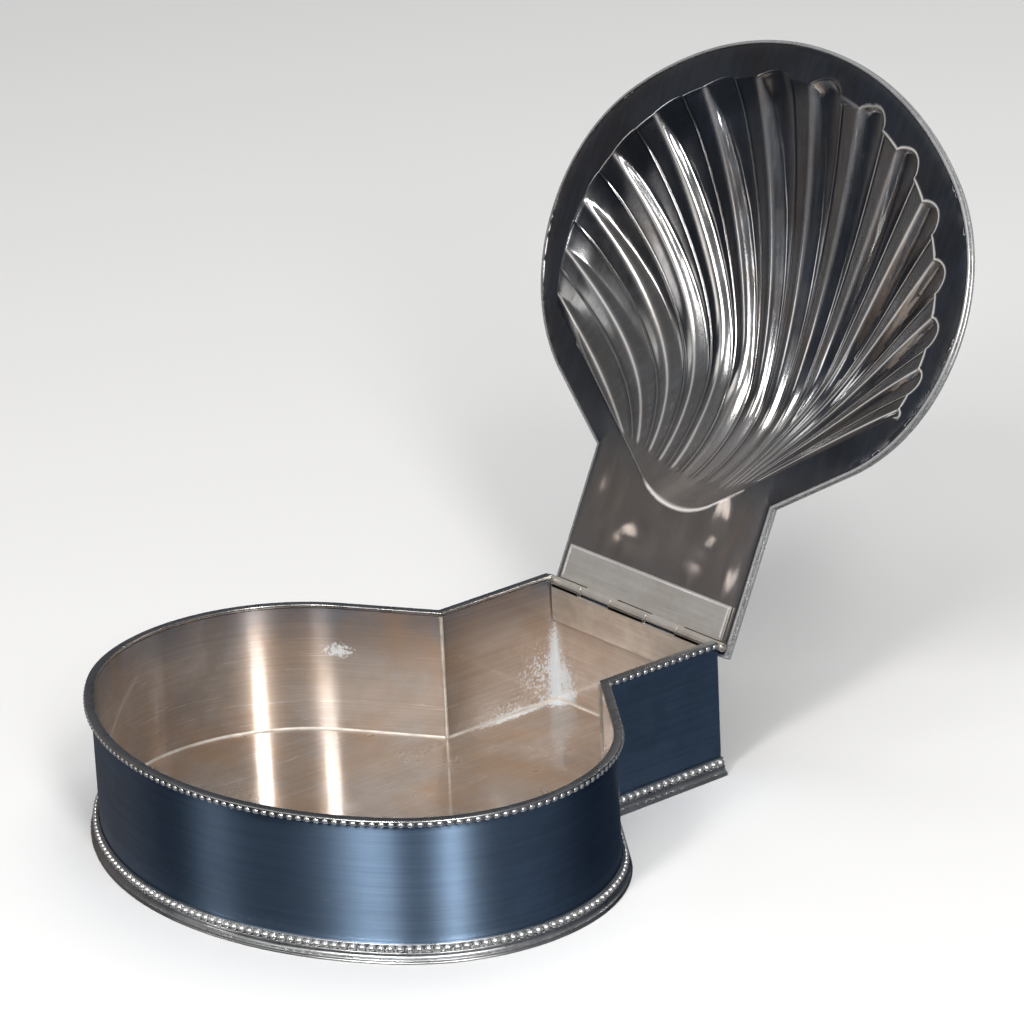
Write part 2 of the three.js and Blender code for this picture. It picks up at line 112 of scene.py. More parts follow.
@dataclass(frozen=True)
class Plan:
    """Keyhole plan of the wall's outer face, in millimetres, drawn from where the bowl is widest."""

    half_width: float = 98.0
    front_radius: float = 117.4
    side_radius: float = 60.7
    flank_degrees: float = 33.7
    block_half_width: float = 41.8
    block_back: float = 118.5
    axis_y: float = 118.8
    arc_step_degrees: float = 1.5

    def half(self, offset: float, back_shift: float) -> list[Point]:
        """Right half of the plan, from the middle of the front to the block's back corner.

        Args:
            offset: distance outside the wall's outer face.
            back_shift: further shift of the back line.

        Returns:
            Points of the half outline.
        """
        side_x = self.half_width - self.side_radius
        turn = math.asin(side_x / (self.front_radius - self.side_radius))
        front_y = (self.front_radius - self.side_radius) * math.cos(turn)
        flank = math.radians(self.flank_degrees)
        points = self.arc(0.0, front_y, self.front_radius + offset, 0.0, turn)[:-1]
        points += self.arc(side_x, 0.0, self.side_radius + offset, turn, math.pi - flank)
        shoulder_x, shoulder_y = points[-1]
        neck_x = self.block_half_width + offset
        points.append((neck_x, shoulder_y + (shoulder_x - neck_x) * math.tan(flank)))
        points.append((neck_x, self.block_back + offset + back_shift))
        return points

    def arc(self, x: float, y: float, radius: float, start: float, end: float) -> list[Point]:
        """Points of an arc whose angles are measured from straight ahead.

        Args:
            x: centre of the arc.
            y: centre of the arc.
            radius: radius of the arc.
            start: first angle in radians.
            end: last angle in radians.

        Returns:
            Points at even angles, both ends included.
        """
        steps = math.ceil((end - start) / math.radians(self.arc_step_degrees))
        angles = [lerp(start, end, i / steps) for i in range(steps + 1)]
        return [(x + radius * math.sin(a), y - radius * math.cos(a)) for a in angles]

    def loop(self, offset: float, back_shift: float = 0.0) -> list[Point]:
        """Whole plan, anticlockwise from the middle of the front.

        Args:
            offset: distance outside the wall's outer face.
            back_shift: further shift of the back line.

        Returns:
            Points of the closed outline, the first not repeated.
        """
        right = self.half(offset, back_shift)
        return right + [(-x, y) for x, y in reversed(right[1:])]

    def open_run(self, offset: float, end_y: float) -> list[Point]:
        """Plan from the block's left side round the front to its right side, cut square at end_y.

        Args:
            offset: distance outside the wall's outer face.
            end_y: where both ends are cut.

        Returns:
            Points of the open run.
        """
        right = self.half(offset, 0.0)[:-1]
        right.append((self.block_half_width + offset, end_y))
        return [(-x, y) for x, y in reversed(right[1:])] + right


Section = Sequence[Point]


def rounded(centre: Point, radius: float, start: float, end: float, steps: int) -> list[Point]:
    """Round stretch of a section.

    Args:
        centre: offset and height of the arc's centre.
        radius: radius of the arc.
        start: first angle in degrees.
        end: last angle in degrees.
        steps: number of steps.

    Returns:
        Points of the arc.
    """
    angles = [math.radians(lerp(start, end, i / steps)) for i in range(steps + 1)]
    return [(centre[0] + radius * math.cos(a), centre[1] + radius * math.sin(a)) for a in angles]


def sweep(section: Section, run_at: Callable[[float], list[Point]], closed: bool) -> bmesh.types.BMesh:
    """Sweeps a closed section round the plan.

    Args:
        section: offset and height pairs, anticlockwise with outwards to the right.
        run_at: gives the plan's points at an offset.
        closed: whether the run closes on itself; an open run gets end caps.

    Returns:
        The swept body, in millimetres.
    """
    bm = bmesh.new()
    rows = [[bm.verts.new((x, y, z)) for x, y in run_at(offset)] for offset, z in section]
    count = len(rows[0])
    for s, row in enumerate(rows):
        above = rows[(s + 1) % len(rows)]
        for i in range(count if closed else count - 1):
            j = (i + 1) % count
            bm.faces.new((row[i], row[j], above[j], above[i]))
    if not closed:
        bm.faces.new([row[0] for row in rows])
        bm.faces.new([row[-1] for row in reversed(rows)])
    return bm


# ---- Meshes ----


def finished_mesh(name: str, bm: bmesh.types.BMesh, place: Matrix,
                  sharp_degrees: float = 32.0) -> bpy.types.Object:
    """Makes a piece from a body built in millimetres.

    Args:
        name: name of the piece.
        bm: the body; it is freed.
        place: where the body goes, in millimetres.
        sharp_degrees: edges that turn more than this stay sharp.

    Returns:
        The piece, at the origin, in metres.
    """
    bmesh.ops.transform(bm, matrix=place, verts=bm.verts)
    bmesh.ops.transform(bm, matrix=Matrix.Scale(MM, 4), verts=bm.verts)
    bmesh.ops.remove_doubles(bm, verts=bm.verts, dist=MERGE)
    bmesh.ops.recalc_face_normals(bm, faces=bm.faces)
    for face in bm.faces:
        face.smooth = True
    for edge in bm.edges:
        edge.smooth = not edge.is_manifold or edge.calc_face_angle(0.0) < math.radians(sharp_degrees)
    mesh = bpy.data.meshes.new(name)
    bm.to_mesh(mesh)
    bm.free()
    piece = bpy.data.objects.new(name, mesh)
    bpy.context.scene.collection.objects.link(piece)
    return piece


def seat(piece: bpy.types.Object, body: Body, finish: bpy.types.Material,
         stands_for: Iterable[str] = ()) -> None:
    """Gives a piece its material, body and the CAD nodes it stands for.

    Args:
        piece: the finished piece.
        body: the body it moves with.
        finish: its material.
        stands_for: CAD nodes that it replaces.
    """
    piece.data.materials.clear()
    piece.data.materials.append(finish)
    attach(piece, body.value)
    for node in stands_for:
        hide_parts(node)
    log.info("%s: %d faces", piece.name, len(piece.data.polygons))


def beads_on(name: str, run: list[Vector], closed: bool, spacing: float, size: Vector,
             finish: bpy.types.Material) -> bpy.types.Object:
    """Sets a row of small beads along a path with Geometry Nodes and makes them one plain mesh.

    Args:
        name: name of the row.
        run: the path's points in metres.
        closed: whether the path closes on itself.
        spacing: distance from bead to bead in metres.
        size: a bead's radii in metres, along the path, across it and upwards.
        finish: the beads' material.

    Returns:
        The row of beads.
    """
    mesh = bpy.data.meshes.new(name + "_path")
    edges = [(i, i + 1) for i in range(len(run) - 1)] + ([(len(run) - 1, 0)] if closed else [])
    mesh.from_pydata([tuple(p) for p in run], edges, [])
    carrier = bpy.data.objects.new(name + "_path", mesh)
    bpy.context.scene.collection.objects.link(carrier)
    modifier = carrier.modifiers.new("beads", "NODES")
    modifier.node_group = bead_tree()
    sockets = {item.name: item.identifier for item in modifier.node_group.interface.items_tree}
    modifier[sockets["Spacing"]] = spacing
    modifier[sockets["Radii"]] = tuple(size)
    modifier[sockets["Finish"]] = finish
    bpy.context.view_layer.update()
    evaluated = carrier.evaluated_get(bpy.context.evaluated_depsgraph_get())
    beads = bpy.data.meshes.new_from_object(evaluated)
    beads.name = name
    row = bpy.data.objects.new(name, beads)
    bpy.context.scene.collection.objects.link(row)
    bpy.data.objects.remove(carrier)
    bpy.data.meshes.remove(mesh)
    for polygon in row.data.polygons:
        polygon.use_smooth = True
    return row


def bead_tree() -> bpy.types.NodeTree:
    """Geometry Nodes tree that sets beads along a path, made once.

    Returns:
        The tree, with inputs Geometry, Spacing, Radii and Finish.
    """
    if "bead_row" in bpy.data.node_groups:
        return bpy.data.node_groups["bead_row"]
    tree = bpy.data.node_groups.new("bead_row", "GeometryNodeTree")
    for label, side, kind in (
        ("Geometry", "INPUT", "Geometry"), ("Spacing", "INPUT", "Float"), ("Radii", "INPUT", "Vector"),
        ("Finish", "INPUT", "Material"), ("Geometry", "OUTPUT", "Geometry"),
    ):
        tree.interface.new_socket(label, in_out=side, socket_type="NodeSocket" + kind)
    wires = Wiring(tree)
    given = wires.add("NodeGroupInput")
    to_curve = wires.add("GeometryNodeMeshToCurve")
    resample = wires.add("GeometryNodeResampleCurve", mode="LENGTH")
    to_points = wires.add("GeometryNodeCurveToPoints", mode="EVALUATED")
    bead = wires.add("GeometryNodeMeshUVSphere")
    for label, value in (("Segments", BEAD_SIDES), ("Rings", BEAD_RINGS), ("Radius", 1.0)):
        bead.inputs[label].default_value = value
    turn = wires.add("FunctionNodeAlignEulerToVector", axis="X", pivot_axis="Z")
    place = wires.add("GeometryNodeInstanceOnPoints")
    realize = wires.add("GeometryNodeRealizeInstances")
    dress = wires.add("GeometryNodeSetMaterial")
    result = wires.add("NodeGroupOutput")
    for source, output, target, socket in (
        (given, "Geometry", to_curve, "Mesh"), (to_curve, "Curve", resample, "Curve"),
        (given, "Spacing", resample, "Length"), (resample, "Curve", to_points, "Curve"),
        (to_points, "Points", place, "Points"), (to_points, "Tangent", turn, "Vector"),
        (turn, "Rotation", place, "Rotation"), (bead, "Mesh", place, "Instance"),
        (given, "Radii", place, "Scale"), (place, "Instances", realize, "Geometry"),
        (realize, "Geometry", dress, "Geometry"), (given, "Finish", dress, "Material"),
        (dress, "Geometry", result, "Geometry"),
    ):
        tree.links.new(source.outputs[output], target.inputs[socket])
    return tree


# ---- Finishes ----


class Wiring:
    """Adds nodes to a tree and joins them with few words."""

    def __init__(self, tree: bpy.types.NodeTree) -> None:
        """Starts on a tree."""
        self.tree = tree

    def add(self, kind: str, **settings: object) -> bpy.types.Node:
        """Adds a node.

        Args:
            kind: the node's type name.
            settings: attributes to set on it.

        Returns:
            The new node.
        """
        node = self.tree.nodes.new(kind)
        for key, value in settings.items():
            setattr(node, key, value)
        return node

    def join(self, source: object, socket: Socket) -> None:
        """Links a socket to another, or sets a plain value on it."""
        if isinstance(source, bpy.types.NodeSocket):
            self.tree.links.new(source, socket)
        else:
            socket.default_value = source

    def math(self, operation: str, a: object, b: object = 0.0, clamped: bool = False) -> Socket:
        """Math node on two values or sockets."""
        node = self.add("ShaderNodeMath", operation=operation, use_clamp=clamped)
        self.join(a, node.inputs[0])
        self.join(b, node.inputs[1])
        return node.outputs[0]

    def ramp(self, value: object, low: float, high: float, to_low: float = 0.0, to_high: float = 1.0,
             smooth: bool = True) -> Socket:
        """Maps a range of values to another, clamped.

        Args:
            value: the socket to map.
            low: start of the range.
            high: end of the range.
            to_low: result at low.
            to_high: result at high.
            smooth: smoothstep instead of linear.

        Returns:
            The mapped socket.
        """
        kind = "SMOOTHSTEP" if smooth else "LINEAR"
        node = self.add("ShaderNodeMapRange", interpolation_type=kind, clamp=True)
        for socket, given in zip(node.inputs, (value, low, high, to_low, to_high)):
            self.join(given, socket)
        return node.outputs[0]

    def noise(self, place: object, scale: object, detail: float = 3.0, roughness: float = 0.55,
              distortion: float = 0.0) -> Socket:
        """Noise value at a place."""
        node = self.add("ShaderNodeTexNoise")
        self.join(place, node.inputs["Vector"])
        for label, given in (("Scale", scale), ("Detail", detail), ("Roughness", roughness),
                             ("Distortion", distortion)):
            self.join(given, node.inputs[label])
        return node.outputs["Fac"]

    def mapped(self, place: object, scale: object = (1, 1, 1), turn: Sequence[float] = (0, 0, 0),
               shift: Sequence[float] = (0, 0, 0)) -> Socket:
        """Coordinates scaled, turned and shifted."""
        node = self.add("ShaderNodeMapping", vector_type="POINT")
        self.join(place, node.inputs["Vector"])
        self.join(scale, node.inputs["Scale"])
        node.inputs["Rotation"].default_value = turn
        node.inputs["Location"].default_value = shift
        return node.outputs["Vector"]

    def vector(self, operation: str, a: object, b: object, label: object = 1) -> bpy.types.Node:
        """Vector node on two values or sockets, the second at the labelled input."""
        node = self.add("ShaderNodeVectorMath", operation=operation)
        self.join(a, node.inputs[0])
        self.join(b, node.inputs[label])
        return node

    def attribute(self, name: str) -> Socket:
        """Value of one of the piece's own attributes."""
        return self.add("ShaderNodeAttribute", attribute_name=name).outputs["Fac"]

    def pick(self, side: object, outer: object, inner: object) -> Socket:
        """Mix of two values."""
        node = self.add("ShaderNodeMix", data_type="FLOAT", clamp_factor=True)
        for socket, given in zip((node.inputs[0], node.inputs[2], node.inputs[3]), (side, outer, inner)):
            self.join(given, socket)
        return node.outputs[0]

    def blend(self, factor: object, a: object, b: object) -> Socket:
        """Mix of two colours."""
        node = self.add("ShaderNodeMix", data_type="RGBA", clamp_factor=True)
        self.join(factor, node.inputs[0])
        self.join((*a, 1.0) if isinstance(a, tuple) else a, node.inputs[6])
        self.join((*b, 1.0) if isinstance(b, tuple) else b, node.inputs[7])
        return node.outputs[2]

    def bump(self, height: object, strength: float, distance: float,
             before: object = None) -> Socket:
        """Bump from a height, over an earlier normal if there is one."""
        node = self.add("ShaderNodeBump")
        self.join(height, node.inputs["Height"])
        node.inputs["Strength"].default_value = strength
        node.inputs["Distance"].default_value = distance
        if before is not None:
            self.join(before, node.inputs["Normal"])
        return node.outputs["Normal"]


@dataclass
class Group:
    """A new shader group: its wires, its input node and its output node."""

    name: str
    inputs: dict[str, str]
    outputs: tuple[str, ...]

    def __post_init__(self) -> None:
        """Makes the group, whose outputs are all plain values."""
        self.tree = bpy.data.node_groups.new(self.name, "ShaderNodeTree")
        for label, kind in self.inputs.items():
            self.tree.interface.new_socket(label, in_out="INPUT", socket_type="NodeSocket" + kind)
        for label in self.outputs:
            self.tree.interface.new_socket(label, in_out="OUTPUT", socket_type="NodeSocketFloat")
        self.wires = Wiring(self.tree)
        self.given = self.wires.add("NodeGroupInput").outputs
        self.result = self.wires.add("NodeGroupOutput").inputs


class SharedEffects:
    """Shader groups that every silver finish uses, each built once."""

    def __init__(self) -> None:
        """Builds the groups."""
        self.tarnish = self.build_tarnish()
        self.rubbing = self.build_rubbing()
        self.bloom = self.build_bloom()

    @staticmethod
    def build_tarnish() -> bpy.types.NodeTree:
        """Cloudy tarnish and brown stain masks.

        Returns:
            Group with inputs Place and Size, outputs Cloud and Stain.
        """
        group = Group("tarnish", {"Place": "Vector", "Size": "Float"}, ("Cloud", "Stain"))
        wires = group.wires
        finer = wires.math("DIVIDE", 1.0, group.given["Size"])
        place = wires.vector("SCALE", group.given["Place"], finer, "Scale").outputs["Vector"]
        wide = wires.noise(place, 1.0, 4.0, 0.6, 0.6)
        fine = wires.noise(wires.mapped(place, shift=(3.1, 7.7, 1.3)), 5.5, 5.0, 0.65)
        cloud = wires.math("ADD", wires.math("MULTIPLY", wide, 0.75), wires.math("MULTIPLY", fine, 0.25))
        wires.join(wires.ramp(cloud, 0.36, 0.66), group.result["Cloud"])
        other = wires.noise(wires.mapped(place, shift=(9.2, 2.4, 5.5)), 0.8, 5.0, 0.6, 0.4)
        wires.join(wires.ramp(other, 0.36, 0.74), group.result["Stain"])
        return group.tree

    @staticmethod
    def build_rubbing() -> bpy.types.NodeTree:
        """Fine rubbing lines and scattered scratches, stretched along the way the metal was wiped.

        Returns:
            Group with inputs Along and Across, already stretched, and outputs Lines and Scratches.
        """
        group = Group("rubbing", {"Along": "Vector", "Across": "Vector"}, ("Lines", "Scratches"))
        wires = group.wires
        wires.join(wires.noise(group.given["Along"], 1.0, 4.0, 0.7), group.result["Lines"])
        across = group.given["Across"]
        first = wires.noise(across, 1.0, 2.0, 0.5, 0.3)
        off = wires.math("ABSOLUTE", wires.math("SUBTRACT", first, 0.5))
        thin = wires.ramp(off, 0.0, 0.012, 1.0, 0.0)
        broken = wires.noise(wires.mapped(across, (0.35, 0.35, 0.35), shift=(4, 1, 8)), 1.0, 2.0)
        shown = wires.math("MULTIPLY", thin, wires.ramp(broken, 0.52, 0.62))
        wires.join(shown, group.result["Scratches"])
        return group.tree

    @staticmethod
    def build_bloom() -> bpy.types.NodeTree:
        """Speckled white corrosion inside a soft patch.

        Returns:
            Group with inputs Place, Centre, Reach, Grain and Fill, and output Mask.
        """
        inputs = {"Place": "Vector", "Centre": "Vector", "Reach": "Vector"}
        group = Group("bloom", inputs | {"Grain": "Float", "Fill": "Float"}, ("Mask",))
        wires, given = group.wires, group.given
        away = wires.vector("SUBTRACT", given["Place"], given["Centre"]).outputs[0]
        scaled = wires.vector("DIVIDE", away, given["Reach"]).outputs[0]
        length = wires.add("ShaderNodeVectorMath", operation="LENGTH")
        wires.join(scaled, length.inputs[0])
        inside = wires.ramp(length.outputs["Value"], 1.0, 0.0)
        grain = wires.noise(given["Place"], given["Grain"], 4.0, 0.7)
        level = wires.math("ADD", grain, wires.math("MULTIPLY", inside, given["Fill"]))
        speckled, soft_edge = wires.ramp(level, 0.66, 0.76), wires.ramp(inside, 0.0, 0.15)
        wires.join(wires.math("MULTIPLY", speckled, soft_edge), group.result["Mask"])
        return group.tree


@dataclass(frozen=True)
class Mark:
    """A patch of white corrosion: its place and reach in metres, its speckles and its fill."""

    centre: tuple[float, float, float]
    reach: tuple[float, float, float]
    grain: float = 900.0
    fill: float = 0.3


@dataclass(frozen=True)
class Zone:
    """A part of a piece whose tone differs: it comes in between two places on an axis, in metres."""

    axis: str
    start: float
    full: float
    colour: Colour
    metal: float


@dataclass(frozen=True)
class Silver:
    """One worn silver-plate finish."""

    name: str
    bright: Colour
    dull: Colour
    stain: Colour
    dull_share: float = 0.6
    stain_share: float = 0.5
    cloud_size: float = 0.04
    gloss: float = 0.18
    haze: float = 0.34
    lines_scale: tuple[float, float, float] = (18.0, 18.0, 900.0)
    lines_depth: float = 0.10
    scratch_scale: tuple[float, float, float] = (14.0, 14.0, 700.0)
    scratch_show: float = 0.35
    ripple_size: float = 0.02
    ripple_depth: float = 0.0
    turn: float = 0.0
    smear: float = 0.0
    metal: float = 1.0
    film: float = 0.0
    # edges: lays painted highlights (with rubbing) on the shell's edges and crests, and painted shade (with
    # patina) on its rib feet and left side.
    edges: bool = False
    zones: tuple[Zone, ...] = ()
    marks: tuple[Mark, ...] = ()

    def material(self, effects: SharedEffects, origin: Vector,
                 inner: "Silver | None" = None) -> bpy.types.Material:
        """Builds the material.

        Args:
            effects: the shared shader groups.
            origin: where the bowl is widest; the pattern is laid out from there.
            inner: finish of the faces whose attribute "inner" is 1, if they differ.

        Returns:
            The material.
        """
        made = bpy.data.materials.new(self.name)
        made.use_nodes = True
        made.node_tree.nodes.clear()
        wires = Wiring(made.node_tree)
        surface = wires.add("ShaderNodeBsdfPrincipled")
        wires.join(surface.outputs[0], wires.add("ShaderNodeOutputMaterial").inputs["Surface"])
        place = wires.mapped(wires.add("ShaderNodeTexCoord").outputs["Object"], shift=-origin)
        colour, roughness, metal, white, normal = self.parts(wires, effects, place)
        film: object = self.film
        if inner is not None:
            side = wires.attribute("inner")
            colour_in, roughness_in, metal_in, white_in, _ = inner.parts(wires, effects, place)
            colour = wires.blend(side, colour, colour_in)
            roughness = wires.pick(side, roughness, roughness_in)
            metal = wires.pick(side, metal, metal_in)
            white = wires.pick(side, white, white_in)
            film = wires.math("MULTIPLY", side, inner.film)
        # Painted light from the shell's attributes: the lighter rubbed edges and crests are partly painted
        # highlight, and the darker rib feet and left side are patina and painted shade.
        if self.edges:
            rubbed, dark = wires.attribute("edge"), wires.attribute("hollow")
            colour = wires.blend(wires.math("MULTIPLY", dark, 0.6), colour, PATINA_AND_PAINTED_SHADE)
            colour = wires.blend(rubbed, colour, RUBBED_EDGE_AND_PAINTED_HIGHLIGHT)
            metal = wires.math("SUBTRACT", metal, wires.math("MULTIPLY", rubbed, 0.6), clamped=True)
        rougher = wires.math("ADD", roughness, wires.math("MULTIPLY", white, 0.4), clamped=True)
        plainer = wires.math("MULTIPLY", metal, wires.ramp(white, 0.0, 1.0, 1.0, 0.2, False))
        for label, given in (
            ("Base Color", wires.blend(white, colour, BLOOM_WHITE)), ("Roughness", rougher),
            ("Metallic", plainer), ("Normal", normal), ("Coat Weight", film),
            ("Coat Roughness", COAT_ROUGHNESS), ("Coat IOR", COAT_IOR),
        ):
            wires.join(given, surface.inputs[label])
        if self.smear:
            surface.inputs["Anisotropic"].default_value = self.smear
            surface.inputs["Anisotropic Rotation"].default_value = 0.25
            around = wires.add("ShaderNodeTangent", direction_type="RADIAL", axis="Z")
            wires.join(around.outputs["Tangent"], surface.inputs["Tangent"])
        return made

    def parts(self, wires: Wiring, effects: SharedEffects, place: Socket) -> tuple[Socket, ...]:
        """Colour, roughness, metal, white mask and normal of the finish.

        Args:
            wires: the material's tree.
            effects: the shared shader groups.
            place: object coordinates.

        Returns:
            The five sockets.
        """
        turned = wires.mapped(place, turn=(self.turn, 0.0, 0.0))
        cloud = self.use(wires, effects.tarnish, Place=turned, Size=self.cloud_size)
        along = wires.mapped(turned, self.lines_scale)
        across = wires.mapped(turned, self.scratch_scale, turn=SCRATCH_TURN)
        rub = self.use(wires, effects.rubbing, Along=along, Across=across)
        dull = wires.math("MULTIPLY", cloud["Cloud"], self.dull_share)
        stain = wires.math("MULTIPLY", cloud["Stain"], self.stain_share)
        colour = wires.blend(dull, self.bright, self.dull)
        metal: object = self.metal
        split = wires.add("ShaderNodeSeparateXYZ")
        wires.join(place, split.inputs[0])
        for zone in self.zones:
            share = wires.ramp(split.outputs[zone.axis], zone.start, zone.full)
            colour = wires.blend(share, colour, zone.colour)
            metal = wires.pick(share, metal, zone.metal)
        colour = wires.blend(stain, colour, self.stain)
        streak = wires.ramp(rub["Lines"], 0.3, 0.75, 0.86, 1.1, False)
        toned = wires.vector("SCALE", colour, streak, "Scale").outputs["Vector"]
        scratches = wires.math("MULTIPLY", rub["Scratches"], self.scratch_show)
        colour = wires.blend(scratches, toned, SCRATCHED)
        hazy = wires.math("ADD", wires.math("MULTIPLY", cloud["Cloud"], 0.7),
                          wires.math("MULTIPLY", rub["Lines"], 0.3))
        roughness = wires.ramp(hazy, 0.0, 1.0, self.gloss, self.haze, False)
        white: object = 0.0
        for mark in self.marks:
            patch = self.use(wires, effects.bloom, Place=place, Centre=mark.centre, Reach=mark.reach,
                             Grain=mark.grain, Fill=mark.fill)
            white = wires.math("MAXIMUM", white, patch["Mask"])
        ripple = wires.noise(turned, 1.0 / self.ripple_size, 2.0, 0.45)
        normal = wires.bump(ripple, self.ripple_depth, RIPPLE_HEIGHT)
        normal = wires.bump(rub["Lines"], self.lines_depth, LINE_HEIGHT, normal)
        return colour, roughness, metal, white, normal

    @staticmethod
    def use(wires: Wiring, effect: bpy.types.NodeTree, **given: object) -> bpy.types.NodeOutputs:
        """Outputs of a shared effect that is given some inputs."""
        node = wires.add("ShaderNodeGroup", node_tree=effect)
        for label, value in given.items():
            wires.join(value, node.inputs[label])
        return node.outputs


# ---- Base ----


@dataclass
class Levels:
    """Heights of the base above the table, in millimetres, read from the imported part."""

    back_wall_top: float = 43.0

    def __post_init__(self) -> None:
        """Reads the levels."""
        self.wall_bottom, self.wall_top = self.ends("base_wall")
        self.floor_bottom, self.floor_top = self.ends("floor_plate")
        self.rim_top = self.ends("rim_moulding")[1]
        self.foot_top = self.ends("foot_moulding")[1]

    @staticmethod
    def ends(node: str) -> list[float]:
        """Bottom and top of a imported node."""
        return [corner.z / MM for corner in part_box(node)]


@dataclass
class BoxBase:
    """The box without its lid: wall, floor, rim, foot and their beads."""

    plan: Plan
    levels: Levels
    place: Matrix
    sheet: float = 1.0
    gap: float = 0.3
    clearance_y: float = 117.1
    bead_spacing: float = 2.95
    rim_roll: tuple[float, float] = (1.3, -1.3)
    rim_bead: float = 1.0
    foot_roll: tuple[float, float] = (1.25, 4.35)
    foot_bead: float = 1.15
    bead_stretch: tuple[float, float] = (1.28, 1.2)
    fillet: float = 0.7
    seam: float = 0.65

    def build(self, dress: "Dress") -> None:
        """Builds and dresses every piece of the base.

        Args:
            dress: the materials.
        """
        self.wall(dress.wall)
        self.floor(dress.floor)
        self.rim(dress.rim, dress.beads)
        self.foot(dress.foot, dress.beads)
        self.solder(dress.solder)

    def path(self, run: list[Point], z: float) -> list[Vector]:
        """Path at a height along a run of the plan, in metres."""
        return [self.place @ Vector((x, y, z)) * MM for x, y in run]

    def wall(self, finish: bpy.types.Material) -> None:
        """The bent sheet wall, lower behind the hinge line."""
        plan, levels = self.plan, self.levels
        step = 0.02

        def top(y: float) -> float:
            """Height of the wall at y."""
            return levels.wall_top if y < self.clearance_y + step / 2 else levels.back_wall_top

        def run(offset: float) -> list[Point]:
            """Plan of the wall, with a step where the back gets lower."""
            half = plan.half(offset, 0.0)
            corner = half.pop()
            half += [(corner[0], self.clearance_y), (corner[0], self.clearance_y + step), corner]
            return half + [(-x, y) for x, y in reversed(half[1:])]

        bm = bmesh.new()
        inner_mark = bm.verts.layers.float.new("inner")
        rows = []
        for offset, is_top in ((-self.sheet, False), (0.0, False), (0.0, True), (-self.sheet, True)):
            row = []
            for (x, y), (_, wall_y) in zip(run(offset), run(0.0)):
                vert = bm.verts.new((x, y, top(wall_y) if is_top else levels.wall_bottom))
                vert[inner_mark] = 1.0 if offset < 0 else 0.0
                row.append(vert)
            rows.append(row)
        count = len(rows[0])
        for s, row in enumerate(rows):
            above = rows[(s + 1) % len(rows)]
            for i in range(count):
                j = (i + 1) % count
                bm.faces.new((row[i], row[j], above[j], above[i]))
        piece = finished_mesh("box_wall", bm, self.place)
        seat(piece, Body.BASE, finish, ["base_wall"])

    def floor(self, finish: bpy.types.Material) -> None:
        """The floor sheet."""
        outline = self.plan.loop(-self.sheet - self.gap)
        bm = bmesh.new()
        for z, flip in ((self.levels.floor_bottom, True), (self.levels.floor_top, False)):
            ring = [bm.verts.new((x, y, z)) for x, y in outline]
            bm.faces.new(list(reversed(ring)) if flip else ring)
        bm.verts.ensure_lookup_table()
        count = len(outline)
        for i in range(count):
            j = (i + 1) % count
            bm.faces.new((bm.verts[i], bm.verts[j], bm.verts[count + j], bm.verts[count + i]))
        bmesh.ops.triangulate(bm, faces=[f for f in bm.faces if len(f.verts) > 4])
        plate = finished_mesh("box_floor", bm, self.place)
        seat(plate, Body.BASE, finish, ["floor_plate"])

    def rim(self, finish: bpy.types.Material, bead_finish: bpy.types.Material) -> None:
        """The ledge on top of the wall and its row of beads."""
        top = self.levels.rim_top
        roll = (self.rim_roll[0], top + self.rim_roll[1])
        under = top - self.sheet
        section = [
            *rounded(roll, 0.7, 180, 360, 6),
            *rounded((1.6, top - 0.35), 0.35, 0, 90, 4),
            *rounded((-self.sheet + 0.2, top - 0.2), 0.2, 90, 180, 3),
            (-self.sheet, under),
            (roll[0] - 0.7, under),
        ]
        bm = sweep(section, lambda offset: self.plan.open_run(offset, self.clearance_y), closed=False)
        ledge = finished_mesh("rim_ledge", bm, self.place)
        seat(ledge, Body.BASE, finish, ["rim_moulding"])
        run = self.path(self.plan.open_run(roll[0] + 0.1, self.clearance_y - 1.2), roll[1])
        size = Vector((self.bead_stretch[0], 1.0, 1.0)) * self.rim_bead * MM
        row = beads_on("rim_beads", run, False, self.bead_spacing * MM, size, bead_finish)
        seat(row, Body.BASE, bead_finish)

    def foot(self, finish: bpy.types.Material, bead_finish: bpy.types.Material) -> None:
        """The foot strip: fillet, beads in a trough, cove, fine line and foot edge."""
        gap, top = self.gap, self.levels.foot_top
        section = [
            (gap, 0.0),
            (2.9, 0.0),
            *rounded((2.85, 0.35), 0.35, -60, 60, 4),
            *rounded((2.75, 1.05), 0.3, -40, 90, 4),
            *rounded((2.9, 2.6), 1.15, 240, 180, 5),
            *rounded((1.75, 3.15), 0.22, -30, 120, 4),
            (0.75, 3.5),
            (0.75, 5.2),
            *rounded((0.9, 5.6), 0.3, -60, 90, 5),
            (gap, top),
        ]
        back = self.plan.block_back
        bm = sweep(section, lambda offset: self.plan.open_run(offset, back), closed=False)
        strip = finished_mesh("foot_strip", bm, self.place)
        seat(strip, Body.BASE, finish, ["foot_moulding"])
        offset, z = self.foot_roll
        run = self.path(self.plan.open_run(offset, back - 1.3), z)
        size = Vector((self.bead_stretch[1], 1.0, 1.0)) * self.foot_bead * MM
        row = beads_on("foot_beads", run, False, self.bead_spacing * MM, size, bead_finish)
        seat(row, Body.BASE, bead_finish)

    def solder(self, finish: bpy.types.Material) -> None:
        """Solder fillet round the floor and up the two neck corners."""
        floor, top, wall, size = self.levels.floor_top, self.levels.wall_top, -self.sheet, self.fillet
        angles = [math.radians(90 * i / 5) for i in range(6)]
        section = [(wall - size + size * math.sin(a), floor + size - size * math.cos(a)) for a in angles]
        section.append((wall + 0.02, floor + 0.02))
        bm = sweep(section, self.plan.loop, closed=True)
        neck_x, neck_y = self.plan.half(wall, 0.0)[-2]
        for side in (-1.0, 1.0):
            corner = Matrix.Translation((side * neck_x, neck_y, (top + floor) / 2))
            bmesh.ops.create_cone(
                bm, cap_ends=True, segments=16, radius1=self.seam, radius2=self.seam,
                depth=top - floor - 0.4, matrix=corner,
            )
        seat(finished_mesh("floor_solder", bm, self.place), Body.BASE, finish)


# ---- Hinge ----


